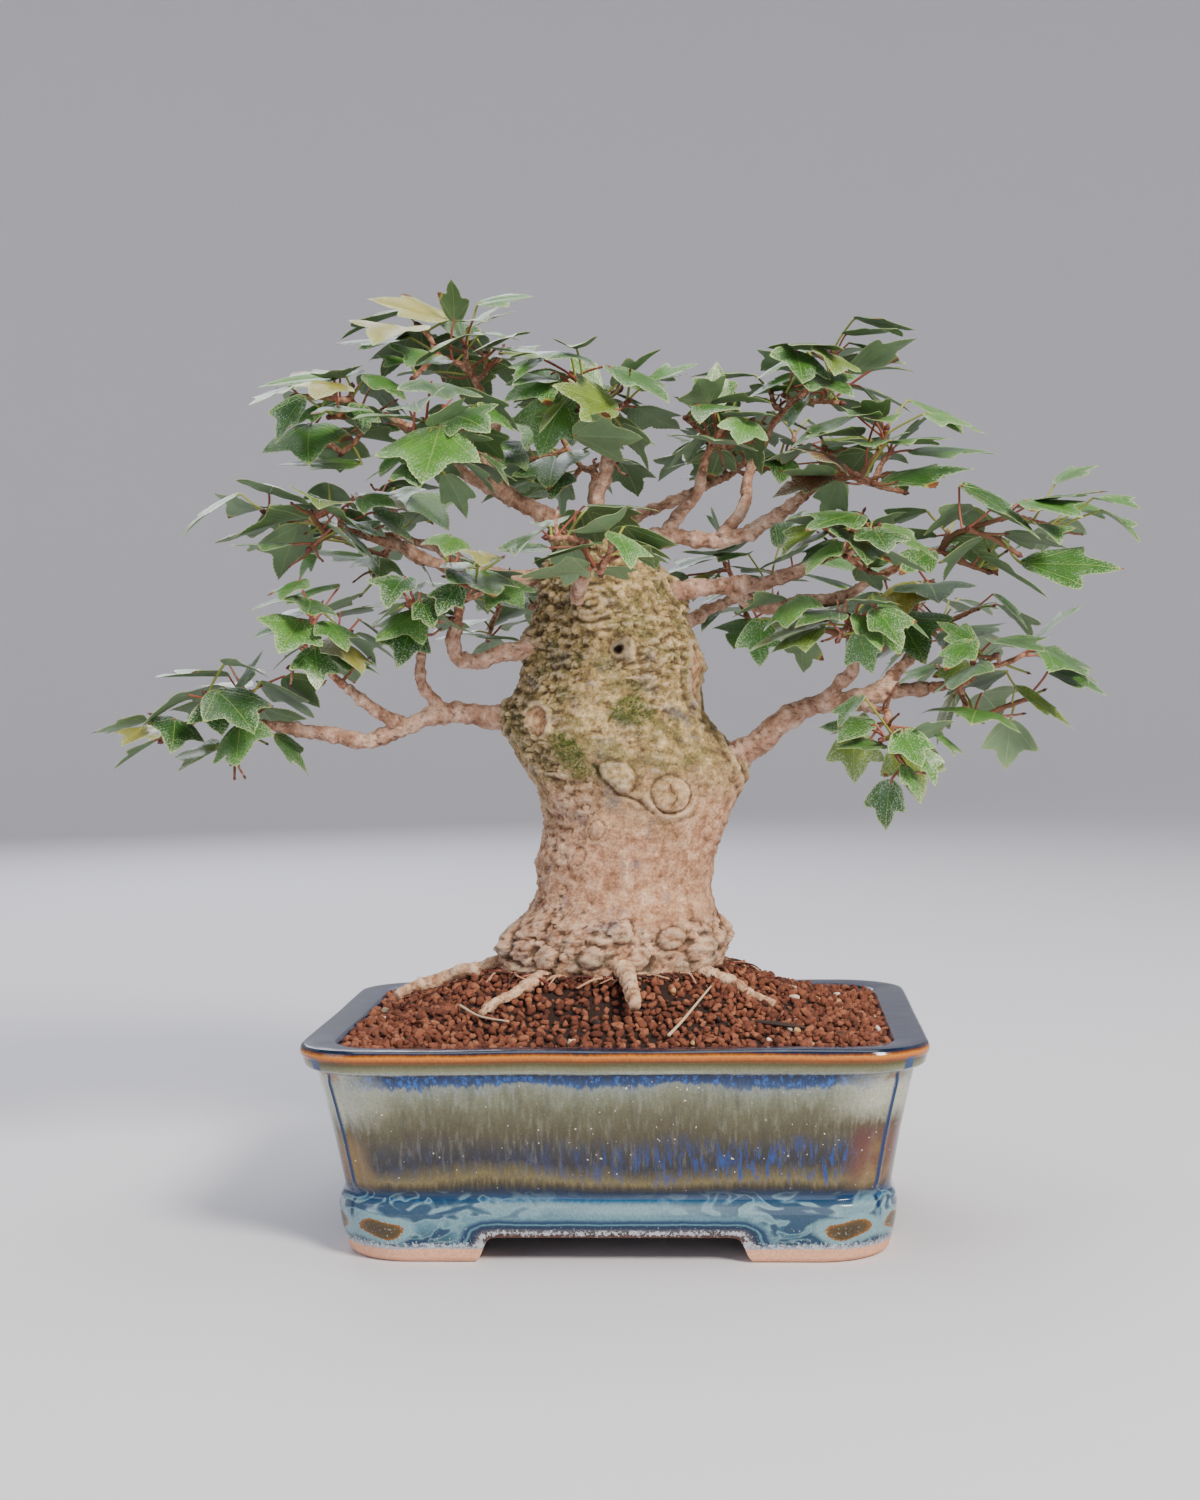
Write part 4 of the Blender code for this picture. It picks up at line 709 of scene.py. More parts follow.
def make_studio():
    """A pale sweep that curves up all round, and broad soft lamps."""
    profile = [(radius, 0.0) for radius in np.linspace(0.0, SWEEP_FLOOR, 9)]
    profile += [(SWEEP_FLOOR + SWEEP_BEND * math.sin(a), SWEEP_BEND * (1 - math.cos(a)))
                for a in np.linspace(0.15, math.pi / 2, 10)]
    profile.append((SWEEP_FLOOR + SWEEP_BEND, SWEEP_TOP))
    around = np.linspace(0, math.tau, 64, endpoint=False)
    points = np.array([[(radius * math.cos(a), radius * math.sin(a), height) for a in around]
                       for radius, height in profile]) / MM
    sweep = Shapes()
    sweep.put(points, grid_faces(len(profile), len(around))[:, ::-1])
    sweep.make("sweep", [new_material("matte_paper", "#dcdce2", 0.9)])
    for name, place, size, watts, colour in LAMPS:
        data = bpy.data.lights.new(name, "AREA")
        data.shape = "DISK"
        data.size = size
        data.energy = watts
        data.color = linear(colour)[:3]
        lamp = new_object(name, data)
        lamp.location = place
        aim = Vector(LAMPS_AIM) - Vector(place)
        lamp.rotation_euler = aim.to_track_quat("-Z", "Y").to_euler()
    world = bpy.data.worlds.new("studio")
    world.use_nodes = True
    sky = world.node_tree.nodes["Background"].inputs
    sky["Color"].default_value = linear("#e6e7ee")
    sky["Strength"].default_value = 0.38
    bpy.context.scene.world = world


def glazed_stoneware():
    """Running stoneware glaze. Its colour goes by height: amber on the lip where it runs thin,
    blue where it gathers, olive walls with faint threads, teal on the foot band, and bare
    pinkish clay where the feet were wiped. Under the lip the heights also hold a painted shade
    line and a painted highlight."""
    material = new_material("glazed_stoneware", "#5c6058", 0.16, IOR=1.52)
    add = partial(add_node, material.node_tree)
    place = add("TexCoord", out="Object")

    def clouds(size, detail, rough=0.5, squash=1.0, shift=0.0, swirl=0.0):
        there = add("Mapping", place, (shift, shift / 2, 0.0), (0.0, 0.0, 0.0), (1.0, 1.0, squash))
        return add("TexNoise", there, per_mm(size), detail, rough, 2.0, swirl)

    ring, seam, window, brim = (add("Attribute", out="Fac", attribute_name=name)
                                for name in ("height", "seam", "window", "brim"))
    streaks = clouds(1.3, 4.0, 0.6, 0.055)
    drifts = clouds(26.0, 3.0)
    grains = clouds(0.7, 2.0, 0.7)
    flows = clouds(13.0, 1.0, 0.4, 1.9, 0.7, 1.6)
    # The walls run freely, while the lip and the foot keep level bands.
    walls = ((ring, 60.6, 57.0), (ring, 22.0, 29.0))
    shift = add("Math", add("MapRange", streaks, 0.3, 0.7, -1.5, 1.5),
                add("MapRange", drifts, 0.3, 0.7, -2.4, 2.4))
    level = add("Math", shift, add("MapRange", share_of(add, *walls), 0.0, 1.0, 0.12, 1.0), ring,
                **TIMES_PLUS)
    ragged = add("Math", drifts, 14.0, seam, **TIMES_PLUS)
    edge = add("Math", clouds(5.0, 3.0), 0.9, add("Math", brim, -0.45), **TIMES_PLUS)
    from_clay = add("Math", add("Math", level, -5.6), operation="ABSOLUTE")
    from_gap = add("Math", add("Math", edge, -1.4), operation="ABSOLUTE")
    crust = add("Math", clouds(0.9, 4.0, 0.75), share_of(add, (from_clay, 1.9, 0.2, 0.0, 0.14)))
    crust = add("Math", crust, share_of(add, (from_gap, 1.2, 0.2, 0.0, 0.16), (ring, 4.6, 6.0)))
    by_height = add("ValToRGB", add("Math", level, 1 / GLAZE_TOP, **TIMES),
                    stops=[(height / GLAZE_TOP, tone) for height, tone in GLAZE_WITH_PAINTED_LIGHT_BY_HEIGHT])
    by_edge = add("ValToRGB", add("Math", edge, 1 / EDGE_REACH, **TIMES),
                  stops=[(away / EDGE_REACH, tone) for away, tone in GLAZE_BY_EDGE])
    ochre = add("ValToRGB", drifts, stops=[(0.4, "#54302a"), (0.48, "#5f4030"), (0.58, "#76603a")])
    amber = add("ValToRGB", add("Math", grains, 0.25, window, **TIMES_PLUS), stops=[
        (0.3, "#3a301a"), (0.8, "#4c3c1c"), (1.0, "#8a5410"), (1.12, "#0c2338"), (1.35, "#6f929a")])
    under_lip = (ring, 61.2, 60.6)
    by_corner = ((seam, 60.0, 30.0), (ring, 23.5, 20.5), (ring, 4.9, 6.6))
    colour = paint(
        add, by_height,
        # Pale threads and soot run down the walls.
        ("#9a9f98", (streaks, 0.52, 0.7, 0.0, 0.16), *walls),
        ("#2c2b29", (clouds(3.4, 3.0, 0.5, 0.07, 0.4), 0.5, 0.7, 0.0, 0.35), *walls),
        # Blue runs in the dark belt, most of them right of the middle, and flecks under the lip.
        ("#1f3d7c", (clouds(1.5, 3.0, 0.6, 0.13, 0.3), 0.48, 0.62), (level, 41.0, 34.0),
         (level, 24.5, 28.0), (add("SeparateXYZ", place), -0.03, 0.045, 0.12, 1.0)),
        ("#2f62ac", (clouds(1.6, 4.0, 0.75, 0.6), 0.5, 0.6, 0.0, 0.9), (level, 56.8, 58.2), under_lip),
        # Beside the corner seams the glaze thins: pale above, ochre and red-brown below.
        (ochre, (ragged, 19.0, 14.0), (level, 46.0, 38.0), (ring, 22.0, 27.0)),
        ("#a5a896", (ragged, 26.0, 14.0, 0.0, 0.9), (level, 43.0, 50.0), under_lip),
        ("#8a5a3c", (ragged, 13.5, 11.5, 0.0, 0.6), (level, 58.6, 59.4), under_lip),
        ("#102b52", (seam, 1.15, 0.6), (ring, 9.0, 12.0), under_lip),
        # On the foot band pale glaze flows over deep blue, most of it by the corners.
        ("#0e3050", (flows, 0.56, 0.45, 0.0, 0.85), *by_corner),
        ("#7fa0a8", (flows, 0.5, 0.55), (flows, 0.63, 0.56, 0.0, 0.5), *by_corner),
        # Round the gaps between the feet run a brown edge, a white crust and two blue lines.
        (by_edge, (edge, 7.4, 5.6), (ring, 4.6, 6.0)),
        (amber, (window, 1.5, 1.2)),
        ("#c3c8d0", (crust, 0.6, 0.68, 0.0, 0.75), (ring, 13.0, 11.0), (ring, 4.2, 4.7)),
        # Paler clouds on the lip's top, a dark drop at each of its corners, and pinholes.
        ("#3d5674", (clouds(9.0, 5.0, 0.7), 0.5, 0.75, 0.0, 0.6), (ring, 68.6, 69.0)),
        ("#1d3a63", (seam, 2.2, 1.6), (ring, 61.6, 62.4), (ring, 66.6, 65.8)),
        ("#d9d6c8", (clouds(0.9, 0.0), 0.83, 0.85), *walls))
    colour = add("Mix", 1.0, colour, add("MapRange", grains, 0.3, 0.75, 0.8, 1.22), **SHADE)
    # Bare clay is matte, and a thin crust of lime dulls the glaze above it.
    return link_surface(material, Base_Color=colour,
                        Roughness=add("MapRange", level, 6.6, 4.4, 0.14, 0.85),
                        Normal=add("Bump", 0.25, 0.0006, inputs={"Height": clouds(9.0, 2.0)}))


def pot_rings(sections, steps):
    """Heights and widths along the pot's wall, at fine even steps."""
    sections = np.array(sections)
    marks = np.concatenate([[0], np.cumsum(np.linalg.norm(np.diff(sections, axis=0), axis=1))])
    fine = np.unique(np.concatenate([marks, np.linspace(0, marks[-1], steps)]))
    return np.column_stack([np.interp(fine, marks, sections[:, k]) for k in (0, 1)])


def fine_outline(width, radius):
    """A ring of the pot with many points, on its sides too."""
    corner = tuple(np.linspace(0, 90, 41))
    ring = rounded_outline(width, width - POT_DEPTH_LESS, radius, corner)
    full = []
    for i, (x, y) in enumerate(ring):
        full.append((x, y))
        if (i + 1) % len(corner) == 0:
            next_x, next_y = ring[(i + 1) % len(ring)]
            steps = 36 if abs(next_x - x) > abs(next_y - y) else 26
            full += [(x + (next_x - x) * k / steps, y + (next_y - y) * k / steps)
                     for k in range(1, steps)]
    return np.array(full)


def seam_distance(x, y):
    """How far a place on the pot lies from the nearest corner's seam, in millimetres."""
    return np.abs(np.abs(x) - np.abs(y) - POT_DEPTH_LESS / 2) / math.sqrt(2)


def brim_distance(along, z, half):
    """How far a place on a foot's face lies from the edge of the gap beside it."""
    end = half + 2.7 - 0.55 * np.minimum(z, FOOT_HEIGHT)
    return np.hypot(0.6 * np.maximum(0, np.abs(along) - end), np.maximum(0, z - FOOT_HEIGHT))


def gap_profile(half):
    """Places and heights round the gap between two feet."""
    side = [(half + out, height) for out, height in GAP_SLOPE]
    return np.array(side + [(-across, height) for across, height in side[::-1]])


def make_cutter(name, rings):
    """A body that is cut out of the pot."""
    body = Shapes()
    body.put(*closed_rings(rings))
    return body.make(name, [], smooth=False)


def glaze_values(points):
    """What the glaze goes by at each point: height, and how far the seams, the windows of thin
    glaze and the edges of the feet's gaps are."""
    x, y, z = points.T
    width = np.interp(z, *np.array(POT_OUTSIDE).T)
    half_x, half_y = width / 2, (width - POT_DEPTH_LESS) / 2
    on_front = np.abs(y) - half_y > np.abs(x) - half_x
    past = np.stack([np.abs(x) - half_x, np.abs(y) - half_y]) + CORNER_RADIUS
    inside = np.hypot(*np.maximum(past, 0)) + np.minimum(past.max(0), 0) < CORNER_RADIUS - 4.0
    brim = np.where(on_front, brim_distance(x, z, FOOT_GAP_FRONT / 2),
                    brim_distance(y, z, FOOT_GAP_SIDE / 2))
    # The windows: an oval on each face of the foot band, on both sides of each corner. From 3 on
    # they show nothing, and the edges show nothing from 30 mm on.
    across = np.where(on_front, np.abs(x) - half_x, np.abs(y) - half_y)
    wave = 1.4 * np.sin(across * 0.42)
    window = np.minimum(np.hypot((across + 16.0) / 8.4, (z - 11.0 - wave * 0.5) / 3.5),
                        np.hypot((across + 2.0) / 3.6, (z - 12.4) / 3.2))
    return {"height": np.where(inside & (z > 30), INSIDE_HEIGHT, z), "seam": seam_distance(x, y),
            "window": np.where((z < 19) & (z > 6), np.minimum(window, 3.0), 3.0),
            "brim": np.where(z < 24, brim, 30.0)}


def make_pot():
    """The glazed pot with its lip, corner seams, foot band and four feet."""
    rows = []
    for height, width in pot_rings(POT_OUTSIDE, 120):
        ring = fine_outline(width, CORNER_RADIUS)
        if RIDGE_HEIGHTS[0] < height < RIDGE_HEIGHTS[1]:
            seam = seam_distance(*ring.T)
            ends = min(1.0, (height - RIDGE_HEIGHTS[0]) / 3, (RIDGE_HEIGHTS[1] - height) / 3)
            swell = ends * (RIDGE_HEIGHT * ridge(seam, 0, RIDGE_WIDTH) - 0.45 * ridge(seam, 3.2, 1.6))
            ring = ring * (1 + swell / np.linalg.norm(ring, axis=1))[:, None]
        rows.append(raised(ring, height))
    for height, width in pot_rings(POT_INSIDE, 16):
        ring = fine_outline(width, CORNER_RADIUS - (POT_WIDTH - width) * 0.35)
        rows.append(raised(ring, height))
    grid = np.array(rows)
    # A hand-finished rim is never quite level or straight.
    grid[..., 2] += 0.35 * lumps(grid, 38.0, 3.0) * np.clip((grid[..., 2] - 40) / 30, 0, 1)
    body = Shapes()
    body.put(*closed_rings(grid))
    pot = body.make("pot_glazed", [glazed_stoneware()])
    inner = POT_OUTSIDE[0][1] - 2 * FOOT_WALL
    hollow = rounded_outline(inner, inner - POT_DEPTH_LESS, 10.0)
    cutters = [
        make_cutter("gap_front", [[(x, y, z) for x, z in gap_profile(FOOT_GAP_FRONT / 2)]
                                  for y in (120.0, -120.0)]),
        make_cutter("gap_side", [[(x, y, z) for y, z in gap_profile(FOOT_GAP_SIDE / 2)]
                                 for x in (-140.0, 140.0)]),
        make_cutter("hollow_under", [raised(hollow, z) for z in (-4.0, FOOT_HEIGHT - 0.5)])]
    for cutter in cutters:
        step = pot.modifiers.new(cutter.name, "BOOLEAN")
        step.operation = "DIFFERENCE"
        step.object = cutter
        step.solver = "EXACT"
    mesh = bpy.data.meshes.new_from_object(
        pot.evaluated_get(bpy.context.evaluated_depsgraph_get()))
    pot.modifiers.clear()
    pot.data = mesh
    for cutter in cutters:
        bpy.data.objects.remove(cutter, do_unlink=True)
    points = np.empty(len(mesh.vertices) * 3)
    mesh.vertices.foreach_get("co", points)
    for name, values in glaze_values((points.reshape(-1, 3) - POT_CENTRE) / MM).items():
        attribute = mesh.attributes.new(name, "FLOAT", "POINT")
        attribute.data.foreach_set("value", values.astype(np.float32))
    mesh.shade_smooth()
    mesh.set_sharp_from_angle(angle=math.radians(50))
    place_piece(pot, "glaze", "pot")


def mound_height(share):
    """Height of the soil, from share 0 at the trunk to 1 at the rim."""
    rise = TRUNK_CUT_HEIGHT - GAP - SOIL_EDGE_HEIGHT
    return SOIL_EDGE_HEIGHT + rise * (1.0 - share) ** SOIL_SLOPE


def soil_outlines(fine=False):
    """The soil's edge against the pot, and the plateau under the trunk, point for point."""
    radius = CORNER_RADIUS - 8.4 - GAP
    edge = fine_outline(SOIL_EDGE_WIDTH, radius) if fine else np.array(
        rounded_outline(SOIL_EDGE_WIDTH, SOIL_EDGE_WIDTH - POT_DEPTH_LESS, radius))
    ways = [math.atan2(y, x) for x, y in edge]
    return edge, FOOT_MIDDLE + np.column_stack([np.cos(ways), np.sin(ways)]) * SOIL_PLATEAU


def soil_lump(x, y, share):
    """How far the granules stand above or below the even mound, which they meet at its edges."""
    fade = min(1.0, 7.0 * share, 7.0 * (1.0 - share))
    return SOIL_LUMPS * max(0.0, fade) * noise.noise(Vector((x, y, 0)) / SOIL_LUMP_SIZE)


def soil_height(x, y):
    """Height of the soil at one place."""
    edge, plateau = soil_outlines()
    way = math.atan2(y, x)
    nearest = min(range(len(edge)), key=lambda i: abs(math.remainder(
        math.atan2(edge[i][1], edge[i][0]) - way, math.tau)))
    line = edge[nearest] - plateau[nearest]
    share = ((x, y) - plateau[nearest]) @ line / (line @ line)
    return mound_height(min(1.0, max(0.0, share)))


def rocks(count, rng):
    """A few granule shapes: balls with knocked-off sides."""
    made = []
    ball = bmesh.new()
    bmesh.ops.create_icosphere(ball, subdivisions=2, radius=1.0)
    ball.verts.index_update()
    faces = np.array([[vertex.index for vertex in face.verts] for face in ball.faces])
    for _ in range(count):
        points = np.array([vertex.co[:] for vertex in ball.verts])
        shift = rng.uniform(0, 50)
        points *= (1 + 0.5 * lumps(points, 0.8, shift) + 0.22 * lumps(points, 0.35, shift))[:, None]
        for _ in range(7):
            way = unit(any_way(rng))
            over = np.maximum(points @ way - rng.uniform(0.45, 0.75), 0)
            points -= over[:, None] * way
        points *= [rng.uniform(0.85, 1.15), rng.uniform(0.8, 1.1), rng.uniform(0.7, 0.95)]
        made.append((points, faces))
    ball.free()
    return made


def turned(points, rng):
    """Points turned at random."""
    axis = Vector(unit(any_way(rng)))
    return points @ np.array(Matrix.Rotation(rng.uniform(0, math.tau), 3, axis)).T


def akadama_clay(name, colour):
    """Fired clay granules: matte, with a fine crumbly grain."""
    material = new_material(name, colour, 0.95)
    add = partial(add_node, material.node_tree)
    grain = add("TexNoise", add("TexCoord", out="Object"), per_mm(0.55), 3.0, 0.7)
    colour = add("Mix", 1.0, colour, add("MapRange", grain, 0.3, 0.7, 0.7, 1.3), **SHADE)
    return link_surface(material, Base_Color=colour,
                        Normal=add("Bump", 0.6, 0.0003, inputs={"Height": grain}))


def make_soil():
    """Clay granules on a dark bed, heaped against the trunk."""
    rng = random.Random(71)
    edge, plateau = soil_outlines(fine=True)
    rings = [raised(edge * 0.93, FLOOR_HEIGHT + GAP)]
    for share in np.linspace(1.0, 0.0, 28):
        across = plateau + (edge - plateau) * share
        level = [mound_height(share) + soil_lump(x, y, share) - BED_SUNK for x, y in across]
        rings.append(raised(across, level))
    bed = Shapes()
    bed.put(*closed_rings(rings))
    # The dark bed is painted shade: sunk under the granules, it shows only in the gaps between them.
    place_piece(bed.make("soil_bed", [new_material("dark_bed_painted_shade", "#2b1a14", 1.0)]), "granules", "soil")
    templates = rocks(14, rng)
    tones = [akadama_clay(f"akadama_{i}", colour)
             for i, colour in enumerate((*AKADAMA, *ODD_BITS))]
    for name, spacing, keep, lift in LAYERS:
        heap = Shapes()
        taken = {}
        for _ in range(GRANULE_TRIES):
            i = rng.randrange(len(edge))
            share = rng.uniform(-0.45, 0.985) if rng.random() < 0.8 else rng.uniform(0.7, 0.985)
            spot = plateau[i] + (edge[i] - plateau[i]) * share
            spot = spot + [rng.uniform(-0.8, 0.8), rng.uniform(-0.8, 0.8)]
            under_trunk = (spot - FOOT_MIDDLE) / [36.0, 28.0]
            if under_trunk @ under_trunk < 1:
                continue
            column, row = int(spot[0] // spacing), int(spot[1] // spacing)
            near = [q for dx in (-1, 0, 1) for dy in (-1, 0, 1)
                    for q in taken.get((column + dx, row + dy), ())]
            if any((q[0] - spot[0]) ** 2 + (q[1] - spot[1]) ** 2 < spacing ** 2 for q in near):
                continue
            taken.setdefault((column, row), []).append(spot)
            if rng.random() > keep:
                continue
            size = rng.triangular(*GRANULE_SIZES)
            if rng.random() < 0.12:
                size *= 0.55
            height = mound_height(min(1.0, max(0.0, share))) + lift + soil_lump(*spot, share)
            height += rng.uniform(-0.3, 0.4)
            points, faces = rng.choice(templates)
            slot = rng.randrange(len(AKADAMA))
            if rng.random() < 0.018:
                slot = len(AKADAMA) + rng.randrange(len(ODD_BITS))
            heap.put(turned(points, rng) * size + [*spot, height], faces, slot)
        place_piece(heap.make(name, tones), "granules")


def trunk_joints():
    """Where boughs leave the trunk: angle from +X, height, and the bough's thickness."""
    found = []
    for _, parent, thickness, _, route in BOUGHS:
        if parent == "trunk":
            run = np.subtract(route[1], route[0])
            found.append((math.degrees(math.atan2(run[1], run[0])), route[0][2] + run[2] * 0.5,
                          thickness))
    return found


def trunk_bumps():
    """Scars and folds, with the burrs round the foot and a collar under each bough."""
    bumps = list(TRUNK_SCARS)
    for start, end, spread, bulge in TRUNK_FOLDS:
        run = Vector(end) - Vector(start)
        steps = max(2, round(math.hypot(math.radians(run.x) * 30.0, run.y) / spread))
        bumps += [(*(Vector(start) + run * (i / steps)), spread, bulge) for i in range(steps + 1)]
    rng = random.Random(5)
    for i in range(BURRS_ROUND_FOOT):
        bumps.append((360.0 * i / BURRS_ROUND_FOOT + rng.uniform(-12, 12), rng.uniform(87, 97),
                      rng.uniform(5, 8), rng.uniform(1.5, 3.2)))
    return bumps + [(angle, level, thickness * 0.9, thickness * 0.3)
                    for angle, level, thickness in trunk_joints()]


def trunk_row(heights):
    """Left edge, right edge and half depth of the trunk at heights, with rounded changes."""
    return [np.mean([np.interp(heights + shift, TRUNK[:, 0], TRUNK[:, column])
                     for shift in np.linspace(-3.0, 3.0, 7)], axis=0) for column in (1, 2, 3)]


def round_and_up(ways, heights, girth, angle, level):
    """Distances in millimetres round the trunk and up it, from a mark at an angle and level."""
    turn = (ways - math.radians(angle) + math.pi) % math.tau - math.pi
    return turn[None] * girth[:, None], heights[:, None] - level + 0 * turn[None]


def trunk_grid():
    """Points of the trunk's bark on a fine grid, with what colours it: crevices and the hollow knot,
    where shade is painted, then moss and wounds.
    """
    top = TRUNK[-1, 0]
    heights = np.linspace(TRUNK_CUT_HEIGHT, top, TRUNK_ROWS)
    ways = np.linspace(0, math.tau, TRUNK_SIDES, endpoint=False)
    left, right, deep = trunk_row(heights)
    half = (right - left) / 2
    girth = (half + deep) / 2
    out = np.stack([np.cos(ways), np.sin(ways), np.zeros_like(ways)], axis=-1)
    base = out * np.stack([half, deep, half], axis=-1)[:, None]
    base[..., 2] = heights[:, None]
    shift = np.stack([(left + right) / 2, np.full(TRUNK_ROWS, TRUNK_MIDDLE_DEPTH),
                      np.zeros(TRUNK_ROWS)], axis=-1)[:, None]
    lump = 1.6 * lumps(base, 1 / 0.06) * np.minimum(1.0, half / 20)[:, None]
    for angle, level, spread, bulge in trunk_bumps():
        a, b = round_and_up(ways, heights, girth, angle, level)
        lump += bulge * np.exp(-(a ** 2 + b ** 2) / spread ** 2)
    place = base + shift
    warp_a, warp_b = lumps(place, 7.0, 11.0), lumps(place, 7.0, 23.0)
    smooth, wound, relief, moss, collar = np.zeros((5, *lump.shape))

    def around(angle, level, radius, squash=1.0, uneven=0.9):
        a, b = round_and_up(ways, heights, girth, angle, level)
        a, b = a + uneven * warp_a, (b + uneven * warp_b) / squash
        return a, b, np.hypot(a, b) / radius

    for mark in HEALED_SCARS:
        a, b, r = around(*mark)
        up = b / mark[2]
        relief += (0.65 + 0.35 * soft(0.5, -0.8, up)) * (0.5 * ridge(r, 0.8, 0.12)
                                                         - ridge(r, 0.97, 0.075))
        relief += 0.8 * ridge(r, 1.17, 0.13) * soft(0.6, -0.6, up) + 1.1 * soft(0.95, 0.4, r)
        relief -= 1.3 * ridge(a + 0.6 * np.sin(b), 0, 0.45) * soft(0.72, 0.5, r)
        relief += 0.26 * np.sin(r * 15) * np.exp(-np.maximum(r - 1, 0) * 2.2) * soft(1.0, 1.25, r)
        smooth = np.maximum(smooth, 0.6 * soft(1.0, 0.85, r))
    for mark in SMOOTH_SCARS:
        a, b, r = around(*mark, 1.25)
        relief += 0.45 * ridge(r, 1.05, 0.16) - 0.55 * ridge(r, 0.86, 0.09) + 0.5 * soft(0.8, 0.2, r)
        smooth = np.maximum(smooth, 0.6 * soft(1.0, 0.8, r))
    for *mark, squash in PALE_WOUNDS:
        a, b, r = around(*mark, squash, 1.4)
        relief += 1.5 * ridge(r, 1.15, 0.18) - soft(1.0, 0.75, r)
        relief += 0.3 * np.sin(r * 14) * np.exp(-np.maximum(r - 1, 0) * 1.3) * soft(1.15, 1.4, r)
        relief -= 0.7 * ridge(a, 0.5, 0.5) * soft(0.7, 0.5, r)
        smooth = np.maximum(smooth, soft(1.02, 0.8, r))
        wound = np.maximum(wound, soft(0.98, 0.78, r))
    a, b, r = around(*HOLLOW_KNOT, 1.0, 1.5)
    cavity = np.hypot(a + 2.0, b + 0.4) / 1.9
    relief += (2.6 + 1.2 * lumps(place, 1.8, 41.0)) * soft(1.5, 0.8, r) - 3.4 * soft(1.0, 0.4, cavity)
    # The hollow value marks painted shade: in the knot's hole and on the rim beside it.
    hollow = np.maximum(soft(1.0, 0.45, cavity), 0.5 * soft(1.5, 1.0, r) * soft(2.4, 1.2, a))
    a, b, r = around(*BURR_KNOB, 1.0, 2.4)
    knob = soft(1.35, 0.8, r)
    relief += 1.9 * dome(r / 1.15) + 1.1 * knob * lumps(place, 1.9, 43.0)
    # A broken crevice, darkened with painted shade, runs from the burr to the healed scar.
    gap = np.full_like(lump, 99.0)
    for start, end in zip(CREVICE, CREVICE[1:]):
        a, b, _ = around(*start, 1.0)
        run = np.array([np.interp(start[1], heights, girth) * math.radians(end[0] - start[0]),
                        end[1] - start[1]])
        share = np.clip((a * run[0] + b * run[1]) / (run @ run), 0, 1)
        gap = np.minimum(gap, np.hypot(a - share * run[0], b - share * run[1]))
    relief -= (1.1 + 1.2 * lumps(place, 6.0, 61.0)) * ridge(gap, 0, 0.7)
    for mark in FOOT_KNOBS:
        a, b, r = around(*mark, 1.0, 1.8)
        relief += 0.36 * mark[2] * dome(r) - 0.5 * ridge(r, 1.04, 0.1)
    # Collars of wrinkles where boughs leave.
    for angle, level, thickness in trunk_joints():
        a, b, r = around(angle, level, thickness * 0.6)
        near = soft(2.6, 1.2, r)
        collar = np.maximum(collar, near)
        relief += 0.5 * np.sin(r * 9 + 2 * warp_a) * near + 1.2 * soft(1.9, 0.9, r)
    # The bark itself: burrs at the foot, folds that wander, plates with cracks, pits and grain.
    patch = lumps(place, 22.0, 5.0)
    level = heights[:, None]
    foot = soft(105.0, 96.0, level - 4 * patch)
    upper = soft(148.0, 185.0, level + 14 * patch)
    left_side = soft(0.1, 0.7, -np.cos(ways))
    belly = soft(0.2, 0.8, -np.sin(ways)) * soft(102, 112, level) * soft(143, 130, level)
    rough = np.clip(0.55 + 0.5 * upper + 0.5 * foot + 0.5 * left_side - 0.35 * belly + 0.3 * patch,
                    0.3, 1.5)
    burr, _ = cells(place, 6.0, 2.0)
    small_burr, _ = cells(place, 2.7, 9.0)
    relief += foot * (1.15 * dome(burr / 0.8) - 0.6) + np.maximum(foot, knob) * 0.6 * (0.5 - small_burr)
    folds = np.sin(place[..., 2] * 1.25 + 6.0 * lumps(place, 12.0, 31.0) + 2.0 * warp_a)
    relief += 0.34 * folds * rough * soft(-0.15, 0.4, lumps(place, 10.0, 47.0) + 0.4 * collar
                                          + 0.15 * left_side)
    stretched = place * [1.0, 1.0, 1.8]
    plate, next_plate = cells(stretched, 4.6, 77.0)
    cracked = soft(-0.2, 0.35, lumps(place, 8.0, 53.0) + 0.25 * left_side + 0.2 * upper - 0.15)
    relief -= 0.75 * soft(0.12, 0.0, next_plate - plate) * rough * cracked
    relief += rough * (1.1 * lumps(stretched, 13.0, 87.0) + 0.5 * lumps(stretched, 4.4, 83.0, 6)
                       + 0.42 * lumps(place, 1.4, 91.0, 3))
    pit, _ = cells(place, 2.9, 103.0)
    relief -= 0.55 * soft(0.24, 0.05, pit) * soft(-0.1, 0.3, lumps(place, 9.0, 71.0))
    relief *= 1 - 0.6 * smooth
    relief += 0.12 * smooth * lumps(place, 3.0, 99.0) - 0.5 * wound
    relief *= 0.25 + 0.75 * soft(top, top - 3.0, level)
    for angle, height, wide, high in MOSS_PATCHES:
        a, b = round_and_up(ways, heights, girth, angle, height)
        moss = np.maximum(moss, soft(1.15, 0.45, np.hypot(a / wide, b / high) + 0.5 * warp_b))
    # The crevice value carries the painted shade of the bark's hollows.
    return base + out * (lump + relief)[..., None] + shift, {
        "crevice": crevices(relief, 4, 0.5), "moss": moss, "wound": wound, "hollow": hollow}


def bark_patches(add, place, tones, patch_mm):
    """Colour of bark in soft patches of a few tones."""
    return add("ValToRGB", add("TexNoise", place, per_mm(patch_mm), 5.0, 0.62), stops=tones)


